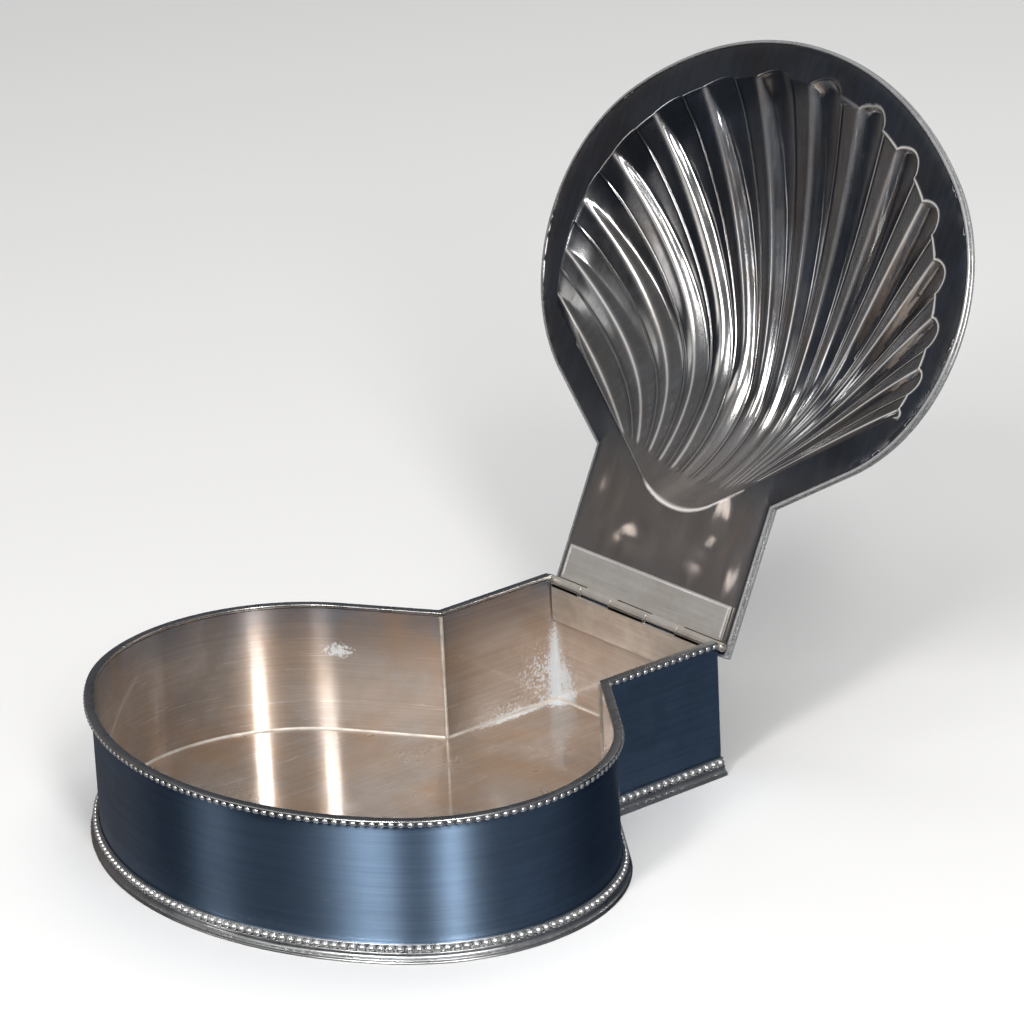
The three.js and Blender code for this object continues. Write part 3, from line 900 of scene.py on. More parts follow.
@dataclass
class Hinge:
    """The hinge: both leaves with their knuckles, and the pin."""

    place: Matrix
    lid_place: Matrix
    half_length: float = 44.3
    joints: tuple[float, ...] = (-26.3, -11.0, 7.0, 22.8)
    barrel: float = 1.4
    bore: float = 1.0
    pin: float = 0.7
    leaf_half_width: float = 40.2
    leaf: float = 0.9
    gap: float = 0.3
    sides: int = 36
    underside: float = 2.6
    ease: float = 0.12
    leaf_end: float = 13.0
    base_knuckles: tuple[int, ...] = (0, 2, 4)
    lid_knuckles: tuple[int, ...] = (1, 3)
    border: float = 0.7

    def build(self, dress: "Dress") -> None:
        """Builds and dresses the hinge.

        Args:
            dress: the materials.
        """
        base = self.base_leaf()
        piece = finished_mesh("box_leaf", base, self.place)
        seat(piece, Body.BASE, dress.leaf, ["base_hinge_leaf"])
        pin = bmesh.new()
        self.tube(pin, -self.half_length, self.half_length, self.pin, 0.0)
        piece = finished_mesh("hinge_pin_wire", pin, self.place)
        seat(piece, Body.BASE, dress.leaf, ["hinge_pin"])
        piece = finished_mesh("lid_leaf", self.lid_leaf(), self.lid_place)
        seat(piece, Body.LID, dress.lid_leaf, ["lid_hinge_leaf"])
        piece = finished_mesh("lid_leaf_border", self.leaf_border(), self.lid_place)
        seat(piece, Body.LID, dress.rubbed_edge)

    def span(self, number: int) -> tuple[float, float]:
        """Ends of a knuckle, shortened a little where it meets the next."""
        ends = (-self.half_length, *self.joints, self.half_length)
        start, end = ends[number], ends[number + 1]
        inner = self.gap / 2
        return start + (inner if number else 0.0), end - (inner if number < len(self.joints) else 0.0)

    def tube(self, bm: bmesh.types.BMesh, x0: float, x1: float, outer: float, inner: float) -> None:
        """Adds a round bar or tube along X, with slightly rounded ends.

        Args:
            bm: body to add to.
            x0: first end.
            x1: other end.
            outer: outer radius.
            inner: bore radius, or 0 for a bar.
        """
        ease = self.ease
        profile = [(x0, outer - ease), (x0 + ease, outer), (x1 - ease, outer), (x1, outer - ease)]
        if inner:
            profile += [(x1, inner), (x0, inner)]
        rings = []
        for x, radius in profile:
            ring = []
            for i in range(self.sides):
                angle = 2 * math.pi * i / self.sides
                ring.append(bm.verts.new((x, radius * math.cos(angle), radius * math.sin(angle))))
            rings.append(ring)
        pairs = list(zip(rings, rings[1:]))
        if inner:
            pairs.append((rings[-1], rings[0]))
        for a, b in pairs:
            for i in range(self.sides):
                j = (i + 1) % self.sides
                bm.faces.new((a[i], b[i], b[j], a[j]))
        if not inner:
            bm.faces.new(rings[0])
            bm.faces.new(list(reversed(rings[-1])))

    def slab(self, bm: bmesh.types.BMesh, low: Sequence[float], high: Sequence[float],
             bevel: float) -> None:
        """Adds a box with bevelled edges between two corners."""
        made = bmesh.ops.create_cube(bm, size=1.0)["verts"]
        for vert in made:
            vert.co = Vector([lerp(low[k], high[k], vert.co[k] + 0.5) for k in range(3)])
        edges = list(dict.fromkeys(edge for vert in made for edge in vert.link_edges))
        bmesh.ops.bevel(bm, geom=edges, offset=bevel, segments=3, affect="EDGES", profile=0.6)

    def barrel_edge(self, cuts: list[Point], full: float, deep: float) -> list[Point]:
        """Leaf's edge along the barrel, cut back at the other leaf's knuckles.

        Args:
            cuts: spans along X that are cut back.
            full: distance of the uncut edge from the axis.
            deep: distance of the cut edge from the axis.

        Returns:
            Places along X and their distances from the axis.
        """
        half = self.leaf_half_width
        spans = [(max(start, -half), min(end, half)) for start, end in cuts]
        points = [(-half, deep if spans[0][0] == -half else full)]
        for start, end in spans:
            points += [(start, full), (start, deep)] if start > -half else []
            points += [(end, deep), (end, full)] if end < half else []
        points.append((half, deep if spans[-1][1] == half else full))
        return points

    def plate(self, bm: bmesh.types.BMesh, edge: list[Point], free: float, bevel: float,
              to_place: Callable) -> None:
        """Adds a leaf's plate.

        Args:
            bm: body to add to.
            edge: the plate's edge along the barrel.
            free: distance of the free edge from the axis.
            bevel: width of the bevelled edges.
            to_place: turns (x, distance from the axis, 0 or 1 through the sheet) into a position.
        """
        corners = edge + [(self.leaf_half_width, free), (-self.leaf_half_width, free)]
        part = bmesh.new()
        face = part.faces.new([part.verts.new((x, away, 0.0)) for x, away in corners])
        made = bmesh.ops.extrude_face_region(part, geom=[face])["geom"]
        for vert in [g for g in made if isinstance(g, bmesh.types.BMVert)]:
            vert.co.z = 1.0
        for vert in part.verts:
            vert.co = Vector(to_place(*vert.co))
        edges = list(part.edges)
        bmesh.ops.bevel(part, geom=edges, offset=bevel, segments=2, affect="EDGES", profile=0.6)
        bmesh.ops.triangulate(part, faces=[f for f in part.faces if len(f.verts) > 4])
        carried = bpy.data.meshes.new("carried")
        part.to_mesh(carried)
        part.free()
        bm.from_mesh(carried)
        bpy.data.meshes.remove(carried)

    def knuckle_spans(self, numbers: tuple[int, ...]) -> list[Point]:
        """Spans of knuckles with the gap that the other leaf leaves beside them."""
        return [(self.span(n)[0] - self.gap, self.span(n)[1] + self.gap) for n in numbers]

    def base_leaf(self) -> bmesh.types.BMesh:
        """The leaf inside the back wall with knuckles 1, 3 and 5."""
        bm = bmesh.new()
        low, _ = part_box("base_hinge_leaf")
        front = low.y / MM - self.place.translation.y
        drop = self.place.translation.z - low.z / MM
        back = front + self.leaf
        edge = self.barrel_edge(self.knuckle_spans(self.lid_knuckles), 0.1, self.barrel + self.gap)
        self.plate(bm, edge, drop, 0.12, lambda x, away, through: (x, lerp(front, back, through), -away))
        for number in self.base_knuckles:
            x0, x1 = self.span(number)
            self.tube(bm, x0, x1, self.barrel, self.bore)
            inner0, inner1 = max(x0, -self.leaf_half_width), min(x1, self.leaf_half_width)
            self.slab(bm, (inner0, front, -self.barrel), (inner1, -self.bore - 0.05, -0.1), 0.1)
        return bm

    def lid_leaf(self) -> bmesh.types.BMesh:
        """The leaf under the lid with knuckles 2 and 4."""
        bm = bmesh.new()
        top = self.underside - self.gap
        bottom = top - self.leaf
        edge = self.barrel_edge(self.knuckle_spans(self.base_knuckles), -0.9, self.barrel + 0.5)
        self.plate(bm, edge, self.leaf_end, 0.28,
                   lambda x, away, through: (x, -away, lerp(top, bottom, through)))
        for number in self.lid_knuckles:
            x0, x1 = self.span(number)
            self.tube(bm, x0, x1, self.barrel, self.bore)
            self.slab(bm, (x0, -self.barrel, self.bore - 0.1), (x1, self.bore, top), 0.1)
        return bm

    def leaf_border(self) -> bmesh.types.BMesh:
        """Solder drawn along the three free edges of the lid's leaf."""
        bm = bmesh.new()
        face = self.underside - self.gap - self.leaf
        side, end, start, width = self.leaf_half_width - 0.05, 0.05 - self.leaf_end, -2.4, self.border
        low, high = face - 0.1, face + 0.2
        for x0, x1, y0, y1 in (
            (-side, side, end, end + width), (-side, -side + width, end + width, start),
            (side - width, side, end + width, start),
        ):
            self.slab(bm, (x0, y0, low), (x1, y1, high), 0.08)
        return bm


# ---- Lid ----


@dataclass(frozen=True)
class ShellRelief:
    """The scallop shell's form.

    Its v runs from the hinge axis to the front, its depth outwards from the lid's underside.
    """

    centre_v: float = 45.0
    bottom_v: float = 36.5
    cup_radius: float = 30.0
    edge_slope: float = math.radians(35.0)
    wing_x: float = 84.0
    last_rib: float = 7.3
    narrow_rib: float = 0.58
    fan: tuple[float, float] = (10.4, 0.034)
    side_direction: float = math.radians(62.5)
    reach: tuple[float, float, float] = (138.8, 26.1, 17.9)
    length: tuple[float, float] = (147.0, 0.45)
    skew: float = 1.5
    bend: tuple[float, float, float] = (0.275, 0.016, 0.56)
    start_spacing: float = 4.0
    lobe_reach: float = 5.2
    height: float = 28.2
    end_wall: float = 1.7
    flute_end: tuple[float, float] = (13.0, 1.7)
    lobe_share: float = 0.12
    edge_round: float = 1.0
    rise_length: float = 43.0
    side_drop: float = 0.22
    cup_smooth: float = 8.5
    spacing: tuple[float, float] = (4.0, 25.0)
    flute_depth: tuple[float, float] = (0.7, 2.9)
    crest_share: tuple[float, float] = (0.8, 0.1)
    roll_over: float = 0.8
    back_rise: float = 0.35
    far_side: float = 0.55
    rib_top: float = 0.33
    rib_half_width: float = 0.8

    def lower_edge(self, x: float) -> tuple[float, float]:
        """Place and slope of the lower edge at x: the cup's arc, then straight edges."""
        slope = min(self.edge_slope, math.asin(min(1.0, abs(x) / self.cup_radius)))
        on_arc = self.bottom_v + self.cup_radius * (1 - math.cos(slope))
        beyond = abs(x) - self.cup_radius * math.sin(slope)
        return on_arc + beyond * math.tan(slope), slope

    def direction(self, rib: float) -> float:
        """Direction of a rib's outer end, in radians from straight ahead."""
        skew = self.skew * (1 - abs(rib - 0.5) / self.last_rib)
        return math.radians(self.fan[0] * rib - self.fan[1] * rib ** 3 + skew)

    def lobe(self, rib: float) -> float:
        """How far the scalloped edge runs out past the ribs' ends."""
        across = (rib - math.floor(rib)) / self.narrow_rib
        if across >= 1:
            return 0.0
        return self.lobe_reach * math.sin(math.pi * across ** 1.3) ** 0.6

    @staticmethod
    def crisp(rib: float) -> float:
        """How crisply the shell ends: worn smooth on the left, sharp on the right."""
        return smoothstep(-2.5, 2.0, rib)

    def margin(self, rib: float) -> Point:
        """Point of the scalloped edge on a rib line."""
        direction = self.direction(rib)
        side = abs(direction) / self.side_direction
        reach = self.reach[0] - self.reach[1] * side ** 2 - self.reach[2] * side ** 4
        taper = 1 - 0.5 * (rib / self.last_rib) ** 2
        reach += self.lobe(rib) * taper * lerp(self.lobe_share, 1.0, self.crisp(rib))
        return reach * math.sin(direction), self.centre_v + reach * math.cos(direction)

    def plan(self, rib: float, along: float) -> Point:
        """Place of a point on a rib line, from 0 at the lower edge to 1 at the scalloped edge."""
        side = rib / self.last_rib
        start_x = self.start_spacing * rib
        start_v = self.lower_edge(start_x)[0]
        if abs(side) > 1 - 1e-9:
            end_x, end_v = self.wing_x * side, self.lower_edge(self.wing_x)[0]
        else:
            end_x, end_v = self.margin(rib)
        straight = side ** 6
        bend_x = lerp(self.bend[0] - self.bend[1] * abs(rib), 0.5, straight)
        bend_v = lerp(self.bend[2], 0.5, straight)
        mid_x, mid_v = lerp(start_x, end_x, bend_x), lerp(start_v, end_v, bend_v)
        rest = 1 - along
        a, b, c = rest * rest, 2 * along * rest, along * along
        return a * start_x + b * mid_x + c * end_x, a * start_v + b * mid_v + c * end_v

    def depth(self, rib: float, along: float) -> float:
        """Depth of the raised shell at a point of a rib line."""
        side = abs(rib) / self.last_rib
        if along <= 0 or along >= 1 or side >= 1 - 1e-9:
            return 0.0
        x, v = self.plan(rib, along)
        from_margin = (1 - along) * self.rib_length(rib)
        ended = smoothstep(0.0, self.end_wall, from_margin)
        faded = smoothstep(0.0, lerp(*self.flute_end, self.crisp(rib)), from_margin)
        return self.dome(rib, along, x, v) * ended + self.flute(rib, along) * faded

    def rib_length(self, rib: float) -> float:
        """Rough length of a rib line."""
        return self.length[0] * (1 - self.length[1] * (rib / self.last_rib) ** 2)

    def dome(self, rib: float, along: float, x: float, v: float) -> float:
        """Smooth dome under the flutes, with a small round where it leaves the flat sheet."""
        past_crest = max(0.0, (along - 0.3) / 0.7)
        edge_v, slope = self.lower_edge(x)
        away = max(0.0, (v - edge_v) * math.cos(slope))
        away = math.hypot(away, self.edge_round) - self.edge_round
        outward = 1 - past_crest ** 1.6
        inward = 1 - (1 - min(1.0, away / self.rise_length)) ** 2
        return self.height * outward * inward * (1 - self.side_drop * (rib / self.last_rib) ** 2)

    def flute(self, rib: float, along: float) -> float:
        """Depth of the flutes: broad round ribs, panels beside them and narrow ribs between."""
        phase = rib - math.floor(rib)
        wide = phase < self.narrow_rib
        share = self.narrow_rib if wide else 1 - self.narrow_rib
        across = (phase if wide else 1 - phase) / share
        crest = lerp(*self.crest_share, along ** 2)
        fall = self.wide_panel(across, crest) if wide else self.narrow_panel(across, crest)
        foot = min(0.4, self.rib_half_width / (share * lerp(*self.spacing, along)))
        if across > 1 - foot:
            rise = (1 + math.cos(math.pi * (1 - across) / foot)) / 2
            fall = lerp(fall, self.rib_top, rise)
        side = (rib / self.last_rib) ** 2
        deepest = lerp(*self.flute_depth, along ** 0.7) * (1 - 0.35 * side)
        started = smoothstep(self.cup_smooth, self.cup_smooth + 2.5, along * self.rib_length(rib))
        fade = 1 - (rib / self.last_rib) ** 8
        shallower = lerp(1.0, 0.8, smoothstep(0.6, 1.0, along))
        return deepest * fall * started * fade * shallower

    def wide_panel(self, across: float, crest: float) -> float:
        """Share of the depth on a broad rib's wide side: it rolls over, then rises slowly."""
        if across > crest:
            return 1 - self.back_rise * (across - crest) / (1 - crest)
        rolled, turned = across / crest, self.roll_over
        if rolled < turned:
            return rolled ** 2 / turned
        return 1 - (1 - rolled) ** 2 / (1 - turned)

    def narrow_panel(self, across: float, crest: float) -> float:
        """Share of the depth on a broad rib's narrow side: an even fall after a round crest."""
        drop = across ** 2 / (2 * crest) if across < crest else across - crest / 2
        return self.far_side * drop / (1 - crest / 2)

    def wear_and_painted_light(self, rib: float, along: float) -> tuple[float, float]:
        """Rubbed edges with painted highlights, and dark rib feet with painted shade, at a place of the
        shell.

        Args:
            rib: rib number.
            along: share of the rib line from the lower edge.

        Returns:
            Share of rubbed edge with painted highlight, and share of dark hollow with patina and painted
            shade.
        """
        phase = rib - math.floor(rib)
        apart = abs(phase - self.narrow_rib) * lerp(*self.spacing, along)
        length = self.rib_length(rib)
        from_margin, from_start = (1 - along) * length, along * length
        present = smoothstep(self.cup_smooth, self.cup_smooth + 2.0, from_start)
        present *= smoothstep(0.5, 1.5, from_margin)
        left, right = smoothstep(-1.4, -3.2, rib), smoothstep(0.0, 2.5, rib)
        # Light lines along the margin and the lower crease: rubbing and painted highlight.
        ended = smoothstep(1.0, 0.3, from_margin) * right
        begun = smoothstep(1.2, 0.5, from_start) * smoothstep(-4.6, -3.4, rib)
        # Lighter thin-rib tops and broad crests: rubbing and painted highlight.
        top = smoothstep(0.36, 0.12, apart) * lerp(0.1, 0.9, right) * present
        from_crest = min(phase, 1 - phase) * lerp(*self.spacing, along)
        crest = smoothstep(1.9, 0.3, from_crest) * 0.25 * smoothstep(0.25, 0.6, along) * present
        sharp = lerp(0.45 * left, 0.6, smoothstep(1.5, 3.0, rib))
        crest += smoothstep(0.8, 0.2, from_crest) * sharp * present
        # Dark rib feet are patina and painted shade; the darker left side is painted shade.
        foot = smoothstep(0.35, 0.6, apart) * smoothstep(1.8, 0.8, apart) * present
        shade = left * 0.75 * smoothstep(0.5, 2.0, from_margin)
        return clamp(0.9 * (ended + begun) + top + crest), clamp(foot + shade)


@dataclass
class Lid:
    """The lid: its sheet with the raised shell, the beaded edge and the leaf side."""

    plan: Plan
    place: Matrix
    relief: ShellRelief = field(default_factory=ShellRelief)
    sheet: float = 1.0
    gap: float = 0.3
    sheet_edge: float = 0.9
    edge_height: float = 3.1
    border: float = 3.6
    edge_reach: float = 2.2
    back: float = 3.5
    underside: float = 2.6
    trough: tuple[float, ...] = (0.8, 1.7, 2.7, 4.0)
    edge_width: float = 0.7
    dents: tuple[tuple[float, ...], ...] = (
        (-11, 23, 11, 8, 1.5), (12, 22, 13, 8, -1.2), (27, 39, 9, 12, 1.5), (-31, 34, 9, 12, 1.0),
        (33, 24, 6, 12, -1.0), (-2, 33, 14, 5, 0.7), (-26, 22, 8, 7, -0.7), (24, 28, 7, 6, 0.7),
    )
    wide_columns: tuple[float, ...] = (
        0.0, 0.02, 0.045, 0.08, 0.12, 0.18, 0.26, 0.36, 0.48,
        0.6, 0.72, 0.8, 0.86, 0.9, 0.93, 0.95, 0.965, 0.98,
    )
    narrow_columns: tuple[float, ...] = (
        0.0, 0.025, 0.05, 0.075, 0.11, 0.16, 0.24, 0.36, 0.5, 0.64, 0.76, 0.85, 0.91, 0.95, 0.98,
    )
    first_rows: tuple[float, ...] = (
        0.0, 0.003, 0.006, 0.010, 0.015, 0.022, 0.030, 0.039, 0.048, 0.056, 0.062, 0.068, 0.074, 0.08,
    )
    last_rows: tuple[float, ...] = (
        0.972, 0.980, 0.985, 0.988, 0.991, 0.9935, 0.9955, 0.9975, 0.999, 1.0,
    )
    rows: int = 66
    bead_spacing: float = 0.95
    bead: float = 0.42

    def build(self, dress: "Dress") -> None:
        """Builds and dresses the lid.

        Args:
            dress: the materials.
        """
        self.shell(dress.lid)
        self.edge(dress.lid_edge, dress.beads)

    @property
    def back_shift(self) -> float:
        """Shift of the lid's back line past the wall's."""
        return self.plan.axis_y + self.back - self.plan.block_back - self.edge_reach

    def columns(self) -> list[float]:
        """Rib numbers of the mesh's columns, with every rib's crest among them."""
        relief = self.relief
        found = {-relief.last_rib, relief.last_rib}
        for rib in range(math.floor(-relief.last_rib), math.ceil(relief.last_rib)):
            found.update(rib + relief.narrow_rib * share for share in self.wide_columns)
            middle, rest = rib + relief.narrow_rib, 1 - relief.narrow_rib
            found.update(middle + rest * share for share in self.narrow_columns)
        return sorted(rib for rib in found if abs(rib) <= relief.last_rib)

    def row_steps(self) -> list[float]:
        """Rows along the ribs, closer together at both ends."""
        start, end = self.first_rows[-1], self.last_rows[0]
        middle = [lerp(start, end, i / self.rows) for i in range(1, self.rows)]
        return [*self.first_rows, *middle, *self.last_rows]

    def shell(self, finish: bpy.types.Material) -> None:
        """The lid sheet with the raised shell, inside and outside."""
        columns, rows = self.columns(), self.row_steps()
        grid = [[self.grid_point(rib, along) for along in rows] for rib in columns]
        bm = bmesh.new()
        inner_mark = bm.verts.layers.float.new("inner")
        rub_and_highlight_mark = bm.verts.layers.float.new("edge")
        patina_and_shade_mark = bm.verts.layers.float.new("hollow")
        boundary = self.grid_boundary(grid)
        contour = [(x, y - self.plan.axis_y) for x, y in self.plan.loop(self.sheet_edge, self.back_shift)]
        flat_points, flat_faces = self.flat_part(contour, boundary)
        # Rubbed-edge and painted-highlight shares of the shell's boundary, carried onto the flat sheet.
        worn = {}
        for rib, column in zip(columns, grid):
            for along, (x, v, _) in zip(rows, column):
                if along in (0.0, 1.0):
                    worn[(round(x, 3), round(-v, 3))] = self.relief.wear_and_painted_light(rib, along)[0]
        for lift, inside in ((0.0, 1.0), (self.sheet, 0.0)):
            base = self.underside + lift
            verts = [
                [bm.verts.new((x, -v, self.underside + d + lift)) for x, v, d in column]
                for column in grid
            ]
            for rib, column in zip(columns, verts):
                for along, vert in zip(rows, column):
                    # Painted highlight with rubbing, and painted shade with patina, stored on each vertex.
                    vert[rub_and_highlight_mark], vert[patina_and_shade_mark] = self.relief.wear_and_painted_light(rib, along)
            for a, b in zip(verts, verts[1:]):
                for j in range(len(rows) - 1):
                    quad = (a[j], a[j + 1], b[j + 1], b[j])
                    if len({vert.co.to_tuple(6) for vert in quad}) > 2:
                        bm.faces.new(quad)
            flat = [bm.verts.new((x, y, base + self.dent(x, -y))) for x, y in flat_points]
            for vert in flat:
                vert.co.z += self.turned_up(vert.co.x, vert.co.y, contour)
                vert[rub_and_highlight_mark] = worn.get((round(vert.co.x, 3), round(vert.co.y, 3)), 0.0)
            for face in flat_faces:
                bm.faces.new([flat[i] for i in face])
            for vert in [v for column in verts for v in column] + flat:
                vert[inner_mark] = inside
        low = [bm.verts.new((x, y, self.underside)) for x, y in contour]
        high = [bm.verts.new((x, y, self.underside + self.sheet)) for x, y in contour]
        for i in range(len(contour)):
            j = (i + 1) % len(contour)
            bm.faces.new((low[i], low[j], high[j], high[i]))
        bmesh.ops.remove_doubles(bm, verts=bm.verts, dist=2e-4)
        piece = finished_mesh("lid_shell_sheet", bm, self.place, 50.0)
        seat(piece, Body.LID, finish, ["lid_shell"])

    def grid_point(self, rib: float, along: float) -> tuple[float, float, float]:
        """Place and depth of a point of the shell."""
        x, v = self.relief.plan(rib, along)
        return x, v, self.relief.depth(rib, along)

    @staticmethod
    def grid_boundary(grid: list[list[tuple[float, float, float]]]) -> list[Point]:
        """Closed outline of the shell's grid on the lid."""
        ring = [column[0] for column in grid]
        ring += grid[-1][1:]
        ring += [column[-1] for column in reversed(grid[:-1])]
        ring += list(reversed(grid[0][1:-1]))
        return [(x, -v) for x, v, _ in ring]

    def flat_part(self, contour: list[Point], hole: list[Point]) -> tuple[list[Point], list[list[int]]]:
        """Triangles of the flat sheet round the shell.

        Args:
            contour: outline of the lid.
            hole: outline of the shell.

        Returns:
            Points and triangles of the flat part.
        """
        def spread(low: float, high: float, step: float) -> list[float]:
            """Evenly spread values."""
            return [low + step * i for i in range(int((high - low) / step) + 1)]

        extra = [(x, y) for x in spread(-40.0, 40.0, 2.0) for y in spread(-54.0, 1.0, 2.0)]
        for before, here, after in zip(hole[-1:] + hole, hole, hole[1:] + hole[:1]):
            along = (Vector(after) - Vector(before)).normalized()
            beside = Vector(here) + Vector((-along.y, along.x)) * self.edge_width
            if not inside_ring(tuple(beside), hole):
                extra.append(tuple(beside))
        for inset in self.trough:
            ring = self.plan.loop(self.sheet_edge - inset, self.back_shift)
            extra += [(x, y - self.plan.axis_y) for x, y in ring]
        points = [Vector(p) for p in contour + hole + extra]
        edges = [(i, (i + 1) % len(contour)) for i in range(len(contour))]
        start = len(contour)
        edges += [(start + i, start + (i + 1) % len(hole)) for i in range(len(hole))]
        verts, _, faces, *_ = delaunay_2d_cdt(points, edges, [], 1, 1e-4)
        kept = []
        for face in faces:
            x = sum(verts[i].x for i in face) / len(face)
            y = sum(verts[i].y for i in face) / len(face)
            if not inside_ring((x, y), hole):
                kept.append(list(face))
        return [(v.x, v.y) for v in verts], kept

    def dent(self, x: float, v: float) -> float:
        """Small hollows worn into the plain tab."""
        depth = 0.0
        for at_x, at_v, wide, long, deep in self.dents:
            away = math.hypot((x - at_x) / wide, (v - at_v) / long)
            if away < 1:
                depth += deep * (1 - away ** 2) ** 2
        return depth

    def turned_up(self, x: float, y: float, contour: list[Point]) -> float:
        """Rise of the sheet's border towards its rolled edge."""
        reach = self.trough[-1]
        away = edge_distance((x, y), contour)
        return 0.25 * (1 - away / reach) ** 2 if 1e-6 < away < reach else 0.0

    def edge(self, finish: bpy.types.Material, bead_finish: bpy.types.Material) -> None:
        """The strip round the lid's edge and its row of beads."""
        inner = self.sheet_edge + self.gap
        under = self.underside
        over = under + self.sheet + self.gap
        roll = (inner + 0.48, under + 1.2)
        section = [
            (inner, under),
            *rounded((inner + 0.52, under + 0.48), 0.48, -90, 40, 6),
            (inner + 0.5, under + 0.85),
            (inner + 0.5, under + 1.65),
            *rounded((inner + 0.72, under + 1.92), 0.24, -70, 70, 4),
            (inner + 0.72, under + 2.25),
            *rounded((inner + 0.3, under + self.edge_height - 0.6), 0.6, 10, 90, 5),
            *rounded((inner - 0.8, under + self.edge_height - 1.2), 1.2, 90, 150, 4),
            (inner - self.border + 0.5, over + 0.45),
            *rounded((inner - self.border + 0.3, over + 0.15), 0.3, 90, 180, 3),
            (inner - self.border, over),
            (inner, over),
        ]
        shift = self.back_shift
        bm = sweep(section, lambda offset: self.plan.loop(offset, shift), closed=True)
        bmesh.ops.translate(bm, verts=bm.verts, vec=(0.0, -self.plan.axis_y, 0.0))
        strip = finished_mesh("lid_edge_strip", bm, self.place)
        seat(strip, Body.LID, finish, ["lid_edge_moulding"])
        run = [
            self.place @ Vector((x, y - self.plan.axis_y, roll[1])) * MM
            for x, y in self.plan.loop(roll[0], shift)
        ]
        size = Vector((1.1, 1.0, 1.0)) * self.bead * MM
        row = beads_on("lid_beads", run, True, self.bead_spacing * MM, size, bead_finish)
        seat(row, Body.LID, bead_finish)


def edge_distance(point: Point, ring: list[Point]) -> float:
    """Distance from a point to a closed outline."""
    best = math.inf
    x, y = point
    for i, (x0, y0) in enumerate(ring):
        x1, y1 = ring[i - 1]
        dx, dy = x1 - x0, y1 - y0
        t = clamp(((x - x0) * dx + (y - y0) * dy) / (dx * dx + dy * dy))
        best = min(best, math.hypot(x - x0 - t * dx, y - y0 - t * dy))
    return best


def inside_ring(point: Point, ring: list[Point]) -> bool:
    """Whether a point lies inside a closed outline."""
    x, y = point
    inside = False
    for i, (x0, y0) in enumerate(ring):
        x1, y1 = ring[i - 1]
        if (y0 > y) != (y1 > y) and x < (x1 - x0) * (y - y0) / (y1 - y0) + x0:
            inside = not inside
    return inside


# ---- Materials of this box ----


